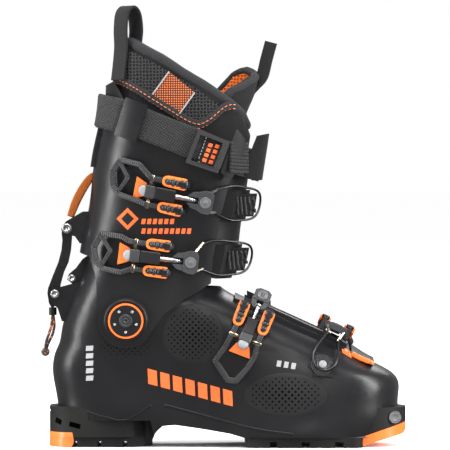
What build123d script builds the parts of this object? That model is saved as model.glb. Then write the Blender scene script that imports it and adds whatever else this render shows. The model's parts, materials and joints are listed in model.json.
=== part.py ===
from build123d import *
from math import atan2, cos, degrees, hypot, pi, radians, sin
import os

os.makedirs("parts", exist_ok=True)

# Driving dimensions in millimetres. X runs toward the toe, Z up, and the outer (lateral) side is -Y.
MID_Y = -0.56
SOLE_LENGTH = 297.0
PIVOT_X, PIVOT_Z = -84.2, 105.3
PIVOT_R = 8.0
TOE_PIN_X, TOE_PIN_Z = 138.9, 24.5
RUN = 0.06
SHELL_WALL = 3.4
CUFF_WALL = 3.2
SHELL_HALF = 41.5
CUFF_HALF = 48.0
SOLE_Z = 8.0
HEEL_SPLIT_Z = 22.0
CUFF_SWEEP_R = 62.0
BOSS_FACE = 50.6
LOCK_X, LOCK_Z = -134.3, 180.9
PIN_X, PIN_Z = -144.3, 126.2
LEVER_PIVOT = (23.0, 5.0)
CLIP_SWEEP_R = 5.2
LATCH_PIVOT = (-2.0, 8.6)

# Height against station along the boot, for the back and the front of each shell.
SHELL_REAR = [(8, -140), (35, -142), (61, -146.5), (72, -145.6), (87, -140), (100, -138), (110, -135),
              (122, -130), (133, -125), (146, -119.5), (162, -112.5)]
SHELL_FRONT = [(8, 138), (25, 141), (45, 143.5), (52, 143), (58, 140), (63, 133), (67, 125), (72, 116),
               (77, 108), (86.5, 92), (95.5, 72), (103, 55), (113, 33), (120, 15), (127, 2), (134, -8),
               (162, -12)]
CUFF_REAR = [(70, -151), (87, -147), (100, -144), (122, -136), (146, -126), (160, -123.6), (166, -123),
             (179, -120), (192, -117.6), (205, -114.4), (231, -112.6), (242, -110.9), (262, -106),
             (273, -104.2), (300, -101.5), (345, -100)]
CUFF_FRONT = [(70, -6), (100, -3), (125, 4), (137, 6), (162, 11.6), (179, 13.6), (204, 17.6), (233, 21.8),
              (262, 26.5), (300, 30), (345, 32)]
PLAN = [(-150, 36), (-100, 37), (-60, 38), (-20, 41), (30, 48), (60, 51), (100, 49), (150, 43)]


def table(rows, value):
    for (a, fa), (b, fb) in zip(rows, rows[1:]):
        if value <= b:
            return fa + (fb - fa) * max(0.0, (value - a) / (b - a))
    return rows[-1][1]


def ease(value, low, high):
    t = min(1.0, max(0.0, (value - low) / (high - low)))
    return t * t * (3 - 2 * t)


def round_end(distance, length, power=2.3):
    t = min(1.0, max(0.0, 1 - distance / length))
    return (1 - t ** power) ** (1 / power)


def shell_ends(z, grow):
    return table(SHELL_REAR, z) - grow, table(SHELL_FRONT, max(0.0, z - grow)) + 0.35 * grow


def shell_half(x, z, grow=0.0):
    rear, front = shell_ends(z, grow)
    up = ease(z, 45, 105)
    width = table(PLAN, x) * (1 - up) + SHELL_HALF * up
    width *= 0.93 + 0.07 * ease(z, 0, 30)
    ends = round_end(x - rear, 44) * round_end(front - x, 46 + 22 * up)
    return (width + grow) * ends


def shell_middle(x):
    return 7.0 * max(0.0, (x + 10) / 155) ** 2


def cuff_ends(z, grow):
    return table(CUFF_REAR, z) - grow, table(CUFF_FRONT, z) + grow


def cuff_half(x, z, grow=0.0):
    rear, front = cuff_ends(z, grow)
    width = CUFF_HALF + 9.0 * ease(z, 150, 275)
    return (width + grow) * round_end(x - rear, 46 + 12 * ease(z, 150, 200)) * round_end(front - x, 62)


def no_middle(x):
    return 0.0


def slice_points(z, grow, ends, half, middle, count=24):
    rear, front = ends(z, grow)
    points = []
    for i in range(count):
        angle = 2 * pi * i / count
        x = (rear + front) / 2 + (front - rear) / 2 * cos(angle)
        side = 0 if i in (0, count // 2) else (1 if sin(angle) > 0 else -1)
        points.append((x, middle(x) + side * half(x, z, grow)))
    return points


def stack(levels, grow, ends, half, middle):
    with BuildPart() as body:
        for z in levels:
            with BuildSketch(Plane.XY.offset(z)):
                with BuildLine():
                    Spline(*slice_points(z, grow, ends, half, middle), periodic=True)
                make_face()
        loft()
    return body.part


SHELL_LEVELS = [8, 22, 36, 48, 56, 64, 73, 83, 93, 103, 113, 123, 134, 147, 160]
CUFF_LEVELS = [72, 90, 108, 126, 146, 162, 180, 200, 222, 246, 270, 296, 322, 346]
made = {}


def shell_solid(grow, levels=None):
    key = ("shell", grow)
    if key not in made:
        made[key] = stack(levels or SHELL_LEVELS, grow, shell_ends, shell_half, shell_middle)
    return made[key]


def cuff_solid(grow):
    key = ("cuff", grow)
    if key not in made:
        made[key] = stack(CUFF_LEVELS, grow, cuff_ends, cuff_half, no_middle)
    return made[key]


def side_mask(points, low=-90.0, high=90.0):
    with BuildPart() as mask:
        with BuildSketch(Plane.XZ.offset(-high)):
            Polygon(*points, align=None)
        extrude(amount=high - low)
    return mask.part


def layer(solid, low, high, points, y_low=-90.0, y_high=90.0):
    with BuildPart() as piece:
        add(solid(high))
        add(side_mask(points, y_low, y_high), mode=Mode.INTERSECT)
        add(solid(low), mode=Mode.SUBTRACT)
    return piece.part


def cut(part, *tools):
    with BuildPart() as piece:
        add(part)
        for tool in tools:
            add(tool, mode=Mode.SUBTRACT)
    return piece.part


def join(*parts):
    with BuildPart() as piece:
        for part in parts:
            add(part)
    return piece.part


def cylinder_y(x, z, radius, y_low, y_high):
    with BuildPart() as body:
        with BuildSketch(Plane.XZ.offset(-y_high)):
            with Locations((x, z)):
                Circle(radius)
        extrude(amount=y_high - y_low)
    return body.part


def keep(part, tool):
    with BuildPart() as piece:
        add(part)
        add(tool, mode=Mode.INTERSECT)
    return piece.part


def tube(points, radius, closed=False):
    with BuildPart() as body:
        with BuildLine() as path:
            Spline(*points, periodic=closed)
        with BuildSketch(Plane(origin=path.line @ 0, z_dir=path.line % 0)):
            Circle(radius)
        sweep(path=path.line, transition=Transition.ROUND)
    return body.part


def save(part, name):
    shifted = part.moved(Location((0, MID_Y, 0)))
    shifted.label = name
    export_step(shifted, f"parts/{name}.step")
    print(name, round(part.volume), len(part.solids()), part.is_valid, flush=True)


# ---------------------------------------------------------------- lower shell and sole
def toe_sockets():
    return join(cylinder_y(TOE_PIN_X, TOE_PIN_Z, 5.0, 26, 60), cylinder_y(TOE_PIN_X, TOE_PIN_Z, 5.0, -60, -26))


def make_lower_shell():
    rim = [(-160, HEEL_SPLIT_Z), (-160, 128), (-126, 157), (-121, 159.5), (-109, 158.5), (-103, 147), (-90, 139), (-60, 135),
           (-20, 132), (8, 132.5), (60, 132.5), (160, 90), (160, 4), (-60, 4), (-64, HEEL_SPLIT_Z)]
    arch = [(-63, 0), (-61, 11), (-54, 17.5), (-44, 18.5), (-22, 15.5), (2, 11.5), (14, SOLE_Z), (14, 0)]
    toe = [(112, 0), (112, 9), (126, 13.5), (160, 26), (160, 0)]
    with BuildPart() as shell:
        add(shell_solid(0))
        add(side_mask(rim), mode=Mode.INTERSECT)
        with BuildPart(mode=Mode.PRIVATE) as hollow:
            add(shell_solid(-SHELL_WALL))
            with BuildSketch(Plane.XZ.offset(-90)):
                Polygon((-160, 26), (-160, 200), (160, 200), (160, 36), (131, 36), (131, 20), (20, 20), (-60, 26),
                        align=None)
            extrude(amount=180, mode=Mode.INTERSECT)
        add(hollow.part, mode=Mode.SUBTRACT)
        add(side_mask(arch), mode=Mode.SUBTRACT)
        add(side_mask(toe), mode=Mode.SUBTRACT)
        add(toe_sockets(), mode=Mode.SUBTRACT)
    return shell.part


save(make_lower_shell(), "lower_shell")


def make_instep_cover():
    outline = [(6, 200), (6, 108), (30, 96), (60, 82), (96, 70), (101, 80), (101, 200)]
    return cut(layer(shell_solid, 0, 2.4, outline, -24, 30), side_mask([(-60, 0), (3, 0), (3, 200), (-60, 200)]))


def make_rails():
    line = [(30, 106), (66, 90), (97, 74), (99, 78), (99, 200), (30, 200)]
    rail = layer(shell_solid, 2.4, 4.6, line, -20, -15.5)
    return join(rail, layer(shell_solid, 2.4, 4.6, line, -11, -6.5))


made["cover"] = join(make_instep_cover(), make_rails())
save(made["cover"], "instep_cover")
save(layer(shell_solid, 0, 3.0, [(103, 60), (103, 100), (120, 100), (122, 69), (113, 71)], -24, 26), "toe_trim")
save(layer(shell_solid, 0, 1.6, [(95, 70), (102.6, 66), (102.6, 100), (95, 100)], -27, -24.4), "toe_trim_accent")


def plan_block(z_low, z_high, x_low, x_high, half, nose):
    with BuildPart() as block:
        with BuildSketch(Plane.XY.offset(z_low)):
            with Locations(((x_low + x_high) / 2, 0)):
                RectangleRounded(x_high - x_low, 2 * half, nose)
        extrude(amount=z_high - z_low)
    return block.part


def make_toe_block():
    wedge = [(100, 0), (100, 8.8), (113, 9.2), (126, 13.7), (148.5, 20.6), (160, 20.6), (160, 0)]
    rear = [(60, 0), (112, 0), (112, 60), (60, 60)]
    block = plan_block(8.0, 32.5, 60, SOLE_LENGTH / 2, 34.5, 30)
    return cut(block, side_mask(wedge), side_mask(rear), shell_solid(0), toe_sockets())


def make_toe_inserts():
    inserts = []
    for side in (-1, 1):
        near, far, floor = side * 26, side * 31.5, side * 27.4
        body = cylinder_y(TOE_PIN_X, TOE_PIN_Z, 5.0, min(near, far), max(near, far))
        inserts.append(cut(body, cylinder_y(TOE_PIN_X, TOE_PIN_Z, 2.7, min(floor, side * 40), max(floor, side * 40))))
    return join(*inserts)


def make_heel_block():
    block = plan_block(SOLE_Z, 33, -SOLE_LENGTH / 2, -64.5, 34.5, 26)
    front = [(-116, HEEL_SPLIT_Z), (0, HEEL_SPLIT_Z), (0, 60), (-116, 60)]
    above = [(-160, HEEL_SPLIT_Z), (0, HEEL_SPLIT_Z), (0, 60), (-160, 60)]
    slots = side_mask([(-143.5, 20), (-138.5, 18), (-137.6, 22), (-142.6, 24.6)], -60, -20)
    slots = join(slots, side_mask([(-131.8, 17.2), (-122.6, 14.8), (-121.8, 18.8), (-131, 21.3)], -60, -20))
    pocket = side_mask([(-160, 11.5), (-144.5, 11.5), (-144.5, 30.5), (-160, 30.5)], -15, 15)
    with BuildPart() as shell_above:
        add(shell_solid(0))
        add(side_mask(above), mode=Mode.INTERSECT)
    return cut(block, side_mask(front), shell_above.part, slots, pocket)


def make_heel_insert():
    with BuildPart() as plate:
        with BuildSketch(Plane.YZ.offset(-148.3)):
            with Locations((0, 21)):
                RectangleRounded(29.6, 18.6, 2)
            with Locations((-7.6, 18), (7.6, 18)):
                Rectangle(5.2, 12.7, mode=Mode.SUBTRACT)
        extrude(amount=3.0)
    return plate.part


def tread(x_low, x_high, half, nose, lugs):
    base = plan_block(4.6, SOLE_Z, x_low, x_high, half, nose)
    lower = plan_block(0, 4.6, x_low, x_high, half, nose)
    with BuildPart() as blocks:
        for a, b in lugs:
            for y_low, y_high in ((-half - 1, -half * 0.38), (-half * 0.26, half * 0.26), (half * 0.38, half + 1)):
                with BuildSketch(Plane.XY):
                    with Locations(((a + b) / 2, (y_low + y_high) / 2)):
                        Rectangle(b - a, y_high - y_low)
                extrude(amount=4.6)
        add(lower, mode=Mode.INTERSECT)
    return join(base, blocks.part)


save(make_toe_block(), "toe_block")
save(make_toe_inserts(), "toe_inserts")
HEEL_CORNER = [(-152, -1), (-130, -1), (-127.6, 4), (-129, 12), (-152, 12)]
save(make_heel_insert(), "heel_insert")
HEEL_LUGS = [(-148.5, -128), (-125, -108), (-105, -87), (-84, -63)]
TOE_LUGS = [(15, 35), (41, 61), (68, 89), (96, 112)]
heel_tread = tread(-SOLE_LENGTH / 2, -63, 32, 24, HEEL_LUGS)
heel_corner = side_mask(HEEL_CORNER)
save(cut(make_heel_block(), heel_corner), "heel_block")
save(cut(heel_tread, heel_corner), "heel_tread")
save(join(keep(make_heel_block(), heel_corner), keep(heel_tread, heel_corner)), "heel_accent")
save(tread(14, 112, 43, 8, TOE_LUGS), "forefoot_tread")


def make_toe_accent():
    band = [(112, 0.6), (123, 4.4), (146, 10.6), (148.4, 13.6), (148.4, 20.2), (126, 13.3), (113, 8.8), (112, 8.8)]
    with BuildPart() as accent:
        add(side_mask(band))
        add(plan_block(0, 40, 60, SOLE_LENGTH / 2, 34.5, 30), mode=Mode.INTERSECT)
    return accent.part


save(make_toe_accent(), "toe_accent")


def make_board():
    with BuildPart() as board:
        add(shell_solid(-SHELL_WALL - 0.6))
        add(side_mask([(-137, 26), (-60, 26), (20, 20), (130, 20), (130, 27), (-137, 31)]), mode=Mode.INTERSECT)
    return board.part


save(make_board(), "boot_board")


def make_liner_foot():
    top = [(-160, 31.3), (-160, 125), (-125, 140), (-108, 150), (-100, 140), (-60, 133), (-22, 128), (60, 128),
           (160, 90), (160, 38), (130, 38), (130, 27)]
    hollow = cut(shell_solid(-SHELL_WALL - 7), side_mask([(-160, 0), (160, 0), (160, 34), (-160, 37)]))
    with BuildPart() as liner:
        add(shell_solid(-SHELL_WALL - 0.6))
        add(side_mask(top), mode=Mode.INTERSECT)
        add(hollow, mode=Mode.SUBTRACT)
        add(make_board(), mode=Mode.SUBTRACT)
    return liner.part


save(make_liner_foot(), "liner_foot")


# ---------------------------------------------------------------- cuff
def make_cuff_shell():
    outline = [(-135, 164.5), (-115, 158), (-109.2, 141.6), (-108, 120.7), (-107.4, 100)]
    outline += [(PIVOT_X + 23 * cos(radians(a)), PIVOT_Z + 23 * sin(radians(a))) for a in range(200, 341, 20)]
    outline += [(-52.4, 110.7), (-35.7, 122.4), (-14, 135.8), (-12.3, 155.8), (-4.8, 195.9), (4.4, 233.5)]
    outline += [(6, 247), (-25, 257), (-60, 270), (-82, 280), (-90, 296), (-95, 303), (-101, 300), (-135, 290)]
    with BuildPart() as cuff:
        add(cuff_solid(0))
        add(cuff_solid(-CUFF_WALL), mode=Mode.SUBTRACT)
        add(side_mask(outline), mode=Mode.INTERSECT)
        for side in (-1, 1):
            low, high = sorted((side * (CUFF_HALF - 2), side * BOSS_FACE))
            add(cylinder_y(PIVOT_X, PIVOT_Z, 19.5, low, high))
        add(cylinder_y(PIVOT_X, PIVOT_Z, PIVOT_R + RUN, -90, 90), mode=Mode.SUBTRACT)
    return cuff.part


made["cuff_shell"] = make_cuff_shell()
save(made["cuff_shell"], "cuff_shell")


def make_front_flap():
    outline = [(-24, 142), (-10, 139.5), (30, 139.5), (40, 240), (6, 252), (-22, 256), (-28, 190)]
    return layer(cuff_solid, -6.2, -3.4, outline)


save(make_front_flap(), "cuff_front_flap")
save(layer(cuff_solid, 0.1, 2.6, [(-125, 232), (-108, 232), (-99, 272), (-125, 272)], -16, 16), "cuff_spoiler")


def ray(angle, radius):
    return PIVOT_X + radius * cos(radians(angle)), PIVOT_Z + radius * sin(radians(angle))


def make_collar():
    outline = [ray(a, CUFF_SWEEP_R + 1.5) for a in range(30, 131, 10)][::-1]
    outline += [(6, 158), (14, 200), (20, 236), (19, 259), (10, 279.5), (-23, 304.5), (-56.6, 325.4), (-83, 339)]
    outline += [(-104, 339.5), (-104, 300), (-135, 250), (-135, 165)]
    return layer(cuff_solid, -13.5, -6.6, outline)


def make_tongue():
    outline = [(-26, 160), (8, 160), (14, 200), (26, 262), (28, 296), (22, 309), (10, 314.5), (-2, 308.7),
               (-15, 294.5), (-30, 270)]
    lower = layer(cuff_solid, -19.5, -13.8, outline)
    return lower


made["collar"] = make_collar()
save(made["collar"], "liner_collar")
made["tongue"] = make_tongue()
save(made["tongue"], "liner_tongue")


def ribbon(points, thickness, half):
    """A flat strap seen on edge: its centre line in the XZ plane, its width along Y."""
    left, right = [], []
    for i, (x, z) in enumerate(points):
        ax, az = points[max(0, i - 1)]
        bx, bz = points[min(len(points) - 1, i + 1)]
        length = hypot(bx - ax, bz - az)
        nx, nz = -(bz - az) / length * thickness / 2, (bx - ax) / length * thickness / 2
        left.append((x + nx, z + nz))
        right.append((x - nx, z - nz))
    return side_mask(left + right[::-1], -half, half)


PULL_LINE = [(-6.4, 318), (-7.2, 345), (-5.4, 361), (0, 365.4), (5.4, 361), (7.2, 345), (6.4, 318)]
PULL_TURN = 28
TAB_LINE = [(17.5, 291.5), (23.5, 300), (28.6, 307.8), (32, 321.2), (36.3, 336.4)]


def make_pull_loop():
    """A loop of webbing turned away from the rear, over the collar's outer rear corner."""
    loop = ribbon(PULL_LINE, 2.2, 12).moved(Location((0, 0, 0), (0, 0, PULL_TURN)))
    return cut(loop.moved(Location((-82.6, -24.0, 0))), made["collar"])


save(make_pull_loop(), "pull_loop")
save(cut(ribbon(TAB_LINE, 10.2, 1.8), made["tongue"]), "pull_tab")


def make_strap():
    band = [(-125, 268.5), (-79.2, 256.9), (-31.5, 238.2), (6, 226.5), (36, 216), (46, 242), (14, 248.5), (-23.2, 264.1),
            (-68.3, 281.5), (-88.3, 289), (-125, 297)]
    tail = [(-125, 270), (-94.8, 261.5), (-86.6, 287), (-100, 292), (-125, 295)]
    return join(layer(cuff_solid, 2.7, 5.0, band), layer(cuff_solid, 5.0, 6.4, tail, -90, 0))


save(make_strap(), "power_strap")
save(layer(cuff_solid, 5.1, 7.2, [(-94, 259), (-76, 252.5), (-66, 283), (-84, 290)], -90, 0), "strap_keeper")


def make_strap_buckle():
    outer = [(-35, 236), (-8, 227), (2, 253), (-24, 264)]
    window = [(-30.5, 238), (-12, 232), (-4, 252), (-22.5, 259)]
    return cut(layer(cuff_solid, 5.1, 8.6, outer, -90, 0), side_mask(window, -90, 0))


save(make_strap_buckle(), "strap_buckle")
save(layer(cuff_solid, 5.1, 8.0, [(-6, 228), (2, 221), (8.6, 231), (15, 254.4), (7.4, 264)], -90, 0), "strap_hook")
save(layer(cuff_solid, 5.1, 8.8, [(12, 228), (20, 221), (46, 221), (46, 262), (24, 258)], -40, 14), "strap_front_block")


# ---------------------------------------------------------------- pivots
def mirrored_pair(make):
    return join(make(-1), make(1))


def side_cylinder(side, radius, near, far, x=PIVOT_X, z=PIVOT_Z):
    low, high = sorted((side * near, side * far))
    return cylinder_y(x, z, radius, low, high)


def make_bush(side):
    stem = side_cylinder(side, PIVOT_R, SHELL_HALF - 1, BOSS_FACE + 0.4)
    cap = side_cylinder(side, 13.0, BOSS_FACE + 0.4, BOSS_FACE + 3.4)
    return join(cut(stem, shell_solid(0)), cap)


def make_ring(side):
    return cut(side_cylinder(side, 14.6, BOSS_FACE + 0.4, BOSS_FACE + 3.0), side_cylinder(side, 13.0, 0, 90))


def make_pins(side):
    pins = []
    for i in range(6):
        a = radians(60 * i + 30)
        pins.append(side_cylinder(side, 1.1, BOSS_FACE + 3.4, BOSS_FACE + 4.0, PIVOT_X + 9 * cos(a), PIVOT_Z + 9 * sin(a)))
    head = side_cylinder(side, 4.0, BOSS_FACE + 3.4, BOSS_FACE + 4.6)
    return join(cut(head, side_cylinder(side, 2.0, BOSS_FACE + 3.9, 90)), *pins)


save(mirrored_pair(make_bush), "pivot_bushes")
save(mirrored_pair(make_ring), "pivot_rings")
save(mirrored_pair(make_pins), "pivot_screws")


# ---------------------------------------------------------------- ski and walk lock
PLATE_NEAR, PLATE_FAR = 5.5, 8.3
LEVER_HALF = 5.0


def plates(points):
    return join(side_mask(points, -PLATE_FAR, -PLATE_NEAR), side_mask(points, PLATE_NEAR, PLATE_FAR))


def make_cuff_bracket():
    outline = [(-112, 195), (-121.5, 194.5), (-135.1, 186.5), (-139, 180), (-135.5, 175.6), (-127.6, 174.2),
               (-123.4, 168.3), (-112, 168.3)]
    back = [(-112, 195), (-121.5, 194.5), (-124, 192.8), (-122.5, 178), (-123.4, 168.3), (-112, 168.3)]
    with BuildPart() as bracket:
        add(plates(outline))
        add(side_mask(back, -PLATE_FAR, PLATE_FAR))
        add(cuff_solid(0), mode=Mode.SUBTRACT)
        add(cylinder_y(LOCK_X, LOCK_Z, 2.53, -20, 20), mode=Mode.SUBTRACT)
    return bracket.part


def make_shell_bracket():
    outline = [(-146.8, 131.2), (-139.5, 131.6), (-125.1, 135.5), (-112, 135), (-118, 100), (-138.5, 103.5),
               (-141.8, 114), (-148.5, 120.7), (-149.3, 126.6)]
    back = [(-133.5, 133.2), (-112, 135), (-118, 100), (-138.5, 103.5), (-137, 112), (-135, 122)]
    with BuildPart() as bracket:
        add(plates(outline))
        add(side_mask(back, -PLATE_FAR, PLATE_FAR))
        add(shell_solid(0), mode=Mode.SUBTRACT)
        add(cylinder_y(PIN_X, PIN_Z, 2.23, -20, 20), mode=Mode.SUBTRACT)
    return bracket.part


def make_lock_lever():
    outline = [(-134.3, 185.2), (-138.4, 182.4), (-138.6, 176), (-138, 170.8), (-138.8, 162.5), (-141.4, 152.5),
               (-146.2, 140.8), (-150, 130.7), (-150.6, 126.6), (-149.3, 118.2), (-146.8, 114), (-142.9, 116.6),
               (-140.3, 123), (-139.8, 133.3), (-136.8, 144.1), (-133, 152.5), (-131, 162.5), (-130.2, 172), (-130, 181)]
    notch = [(PIN_X, PIN_Z - 2.35), (-136, PIN_Z - 2.2), (-136, PIN_Z + 4.2), (PIN_X, PIN_Z + 2.35)]
    with BuildPart() as lever:
        add(side_mask(outline, -LEVER_HALF, LEVER_HALF))
        add(cylinder_y(LOCK_X, LOCK_Z, 2.56, -20, 20), mode=Mode.SUBTRACT)
        add(cylinder_y(PIN_X, PIN_Z, 2.35, -20, 20), mode=Mode.SUBTRACT)
        add(side_mask(notch), mode=Mode.SUBTRACT)
        add(cross_pin(-137.6, 150.8, 1.6, LEVER_HALF, 2.5, 1.0))
        add(cross_pin(-146.8, 118.6, 1.2, LEVER_HALF, 2.1, 0.4))
    return lever.part


def cross_pin(x, z, radius, reach, head, head_length=1.5):
    return join(cylinder_y(x, z, radius, -reach, reach), cylinder_y(x, z, head, -reach - head_length, -reach),
                cylinder_y(x, z, head, reach, reach + head_length))


save(make_cuff_bracket(), "cuff_bracket")
made["shell_bracket"] = make_shell_bracket()
save(made["shell_bracket"], "shell_bracket")
save(make_lock_lever(), "lock_lever")
save(cross_pin(LOCK_X, LOCK_Z, 2.5, PLATE_FAR, 4.2), "lever_pin")
save(cross_pin(PIN_X, PIN_Z, 2.2, PLATE_FAR, 3.6), "lock_pin")


def make_spoiler_arm():
    outline = [(-112, 164), (-117.6, 160), (-126.8, 147.5), (-132.6, 142.6), (-134, 138), (-129.3, 134.1),
               (-122, 134.4), (-112, 146)]
    with BuildPart() as arm:
        add(side_mask(outline, -LEVER_HALF, LEVER_HALF))
        add(cylinder_y(PIVOT_X, PIVOT_Z, CUFF_SWEEP_R, -20, 20), mode=Mode.INTERSECT)
        add(shell_solid(0), mode=Mode.SUBTRACT)
        add(made["shell_bracket"], mode=Mode.SUBTRACT)
        add(cylinder_y(-130.1, 139.1, 1.8, -20, 20), mode=Mode.SUBTRACT)
    return arm.part


save(make_spoiler_arm(), "spoiler_arm")
save(cross_pin(-130.1, 139.1, 1.77, LEVER_HALF, 3.0, 1.0), "spoiler_screw")


def make_bracket_spring():
    with BuildPart() as spring:
        with BuildLine() as path:
            Helix(pitch=2.0, height=8.0, radius=1.5, center=(-126.6, 0, 180.4), direction=(0.1, 0, 1))
        with BuildSketch(Plane(origin=path.line @ 0, z_dir=path.line % 0)):
            Circle(0.5)
        sweep()
    return spring.part


save(make_bracket_spring(), "bracket_spring")
STRAP_OUTLINE = [(-108, 228), (-115.6, 226.8), (-126.2, 211), (-132.4, 197), (-133.4, 190.5), (-127.4, 190.5),
                 (-123, 200), (-113.4, 218.5), (-108, 222)]
save(cut(side_mask(STRAP_OUTLINE, -6, 6), cuff_solid(0), make_cuff_bracket()), "lever_strap")
OUTER_STRAND = [(-146.5, -1.5, 110.6), (-146.6, -1.5, 106), (-147.2, -1.8, 99), (-150, -1.8, 91), (-152.4, -1.5, 84),
                (-152.5, -1, 78)]
INNER_STRAND = [(-146.1, 1.5, 110.6), (-145.6, 1.5, 106), (-144.7, 1.9, 99), (-146.6, 1.9, 91), (-150.6, 1.5, 84),
                (-152, 1, 78)]


def make_bead():
    with BuildPart() as bead:
        with BuildSketch(Plane.XY.offset(108.2)):
            with Locations((-146.2, 0)):
                Circle(3.2)
        extrude(amount=6.4)
        fillet(bead.edges(), 0.6)
        add(make_lock_lever(), mode=Mode.SUBTRACT)
    return bead.part




def make_knot():
    with BuildPart() as knot:
        with Locations((-152.4, 0, 77.4)):
            Sphere(3.6)
    return knot.part


save(make_bead(), "cord_bead")
save(make_knot(), "cord_knot")
save(cut(join(tube(OUTER_STRAND, 1.15), tube(INNER_STRAND, 1.15)), make_bead(), make_knot()), "release_cord")


# ---------------------------------------------------------------- buckles
def surface_plane(x, z, half, middle, direction, side=-1, shift=0.0):
    """A plane on one side of a shell, its x axis along `direction` and its z axis out of the surface."""
    step = 2.0
    y = middle(x) + side * half(x, z)
    x = x + shift
    slope_x = (middle(x + step) + side * half(x + step, z) - middle(x - step) - side * half(x - step, z)) / (2 * step)
    slope_z = side * (half(x, z + step) - half(x, z - step)) / (2 * step)
    normal = Vector(-side * slope_x, side, -side * slope_z).normalized() * 1.0
    along = Vector(*direction)
    along = (along - normal * along.dot(normal)).normalized()
    return Plane(origin=(x - shift, y, z), x_dir=along, z_dir=normal)


def plan_piece(points, low, high):
    with BuildPart() as piece:
        with BuildSketch(Plane.XY.offset(low)):
            Polygon(*points, align=None)
        extrude(amount=high - low)
    return piece.part


def pin_v(u, w, radius, reach):
    return cylinder_y(u, w, radius, -reach, reach)


def buckle_base():
    plate = plan_piece([(-16, -9.6), (-7, -6), (-2, -13), (30, -13), (30, 13), (-2, 13), (-7, 6), (-16, 9.6)], -5, 1.8)
    channel = plan_piece([(0.4, -7), (40, -7), (40, 7), (0.4, 7)], -9, 20)
    plate = cut(plate, channel, cylinder_y(*LEVER_PIVOT, CLIP_SWEEP_R, -20, 20))
    lugs = []
    for side in (-1, 1):
        low, high = sorted((side * 9.2, side * 12.8))
        lugs.append(side_mask([(17, -5), (29, -5), (29, 6), (26, 9), (20, 9), (17, 5)], low, high))
    return cut(join(plate, *lugs), pin_v(*LEVER_PIVOT, 2.06, 30))


def swayed(points, sway):
    """The lever's rear loop moved across its length by `sway`, with its arms left on their pivots."""
    return [(u, v + sway * min(1.0, max(0.0, (-3.0 - u) / 9.0))) for u, v in points]


def buckle_lever(drop=1.0, sway=0.0):
    outer = [(6, 8.2), (-3, 8.2), (-7.2, 11), (-14.4, 14.2), (-30.2, 14.4), (-34.6, 4.8), (-31.6, -4.6), (-26.6, -8.6),
             (-12, -10), (-3, -8.2), (6, -8.2), (6, -13.8), (-3, -13.8), (-12, -15), (-28.6, -13.9), (-36.2, -7.6),
             (-40, 5.2), (-33.6, 19.8), (-15.6, 19.6), (-9.8, 16), (-3, 13.8), (6, 13.8)]
    outer = swayed(outer, sway)
    far, knee = 4.4 - 6.4 * drop, 7.4 - 2.8 * drop
    profile = [(8, 8.5), (-4, 11.6), (-14, 9.2), (-28, knee), (-44, far), (-44, far - 4.4), (-28, knee - 4.4),
               (-14, 4.6), (-4, 6.2), (8, 3)]
    return cut(keep(plan_piece(outer, -12, 20), side_mask(profile, -40, 40)), pin_v(*LATCH_PIVOT, 1.83, 30))


def buckle_clips():
    clips = []
    for side in (-1, 1):
        legs = plan_piece([(6, side * 6.9), (26, side * 6.9), (27.4, side * 7.6), (27.4, side * 8.5), (9, side * 8.5),
                           (9, side * 13.5), (27.4, side * 13.5), (27.4, side * 14.4), (26, side * 15.1),
                           (6, side * 15.1)][::side], -5, 20)
        clips.append(keep(legs, side_mask([(6, 3), (20, 2.2), (27.4, 3.4), (27.4, 7.2), (24, 8.4), (6, 8.5)], -40, 40)))
    return cut(join(*clips), pin_v(*LEVER_PIVOT, 2.03, 30))


def buckle_pins():
    stubs = [cylinder_y(*LEVER_PIVOT, 2.0, *sorted((side * 6.9, side * 15.6))) for side in (-1, 1)]
    return join(pin_v(*LATCH_PIVOT, 1.8, 14.4), *stubs)


def turned(part, lean):
    u, w = LATCH_PIVOT
    return part.moved(Location((-u, 0, -w))).moved(Location((0, 0, 0), (0, lean, 0))).moved(Location((u, 0, w)))


def buckle_barrel():
    block = side_mask([(-7, 5.4), (-7, 11.6), (0, 12.6), (19, 11.6), (19, 5.6), (4, 4.8)], -5.2, 5.2)
    with BuildPart() as dome:
        with BuildSketch(Plane.XY.offset(6)):
            with Locations((-7, 0)):
                Circle(4.6)
        extrude(amount=5)
    barrel = join(block, dome.part)
    return cut(barrel, pin_v(*LATCH_PIVOT, 1.86, 30), rod_u(8, 40, 2.4))


def rod_u(start, end, radius):
    with BuildPart() as rod:
        with BuildSketch(Plane.YZ.offset(start)):
            with Locations((0, 8.6)):
                Circle(radius)
        extrude(amount=end - start)
    return rod.part


def buckle_rod():
    with BuildPart() as rod:
        add(rod_u(10, 33, 2.35))
        with BuildSketch(Plane.YZ.offset(33)):
            with Locations((0, 8.6)):
                Circle(2.35)
        with BuildSketch(Plane.YZ.offset(37.5)):
            with Locations((0, 8.6)):
                Circle(0.7)
        loft()
    return rod.part


def buckle_yoke(half=9.5):
    plan = [(30, -3.6), (34, -7), (44, -half), (49, -half), (51, -half + 4), (51, half - 4), (49, half), (44, half),
            (34, 7), (30, 3.6)]
    body = plan_piece(plan, 5.6, 11.6)
    return cut(body, rod_u(20, 38, 2.38))


def buckle_emblem():
    with BuildPart() as disc:
        with BuildSketch(Plane.XY.offset(11.6)):
            with Locations((44, 0)):
                Circle(4.6)
        extrude(amount=0.8)
    return disc.part


def front_x(y, z, grow, half=cuff_half, ends=cuff_ends):
    low, high = -40.0, ends(z, grow)[1]
    for _ in range(40):
        mid = (low + high) / 2
        if half(mid, z, grow) > abs(y):
            low = mid
        else:
            high = mid
    return low


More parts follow.
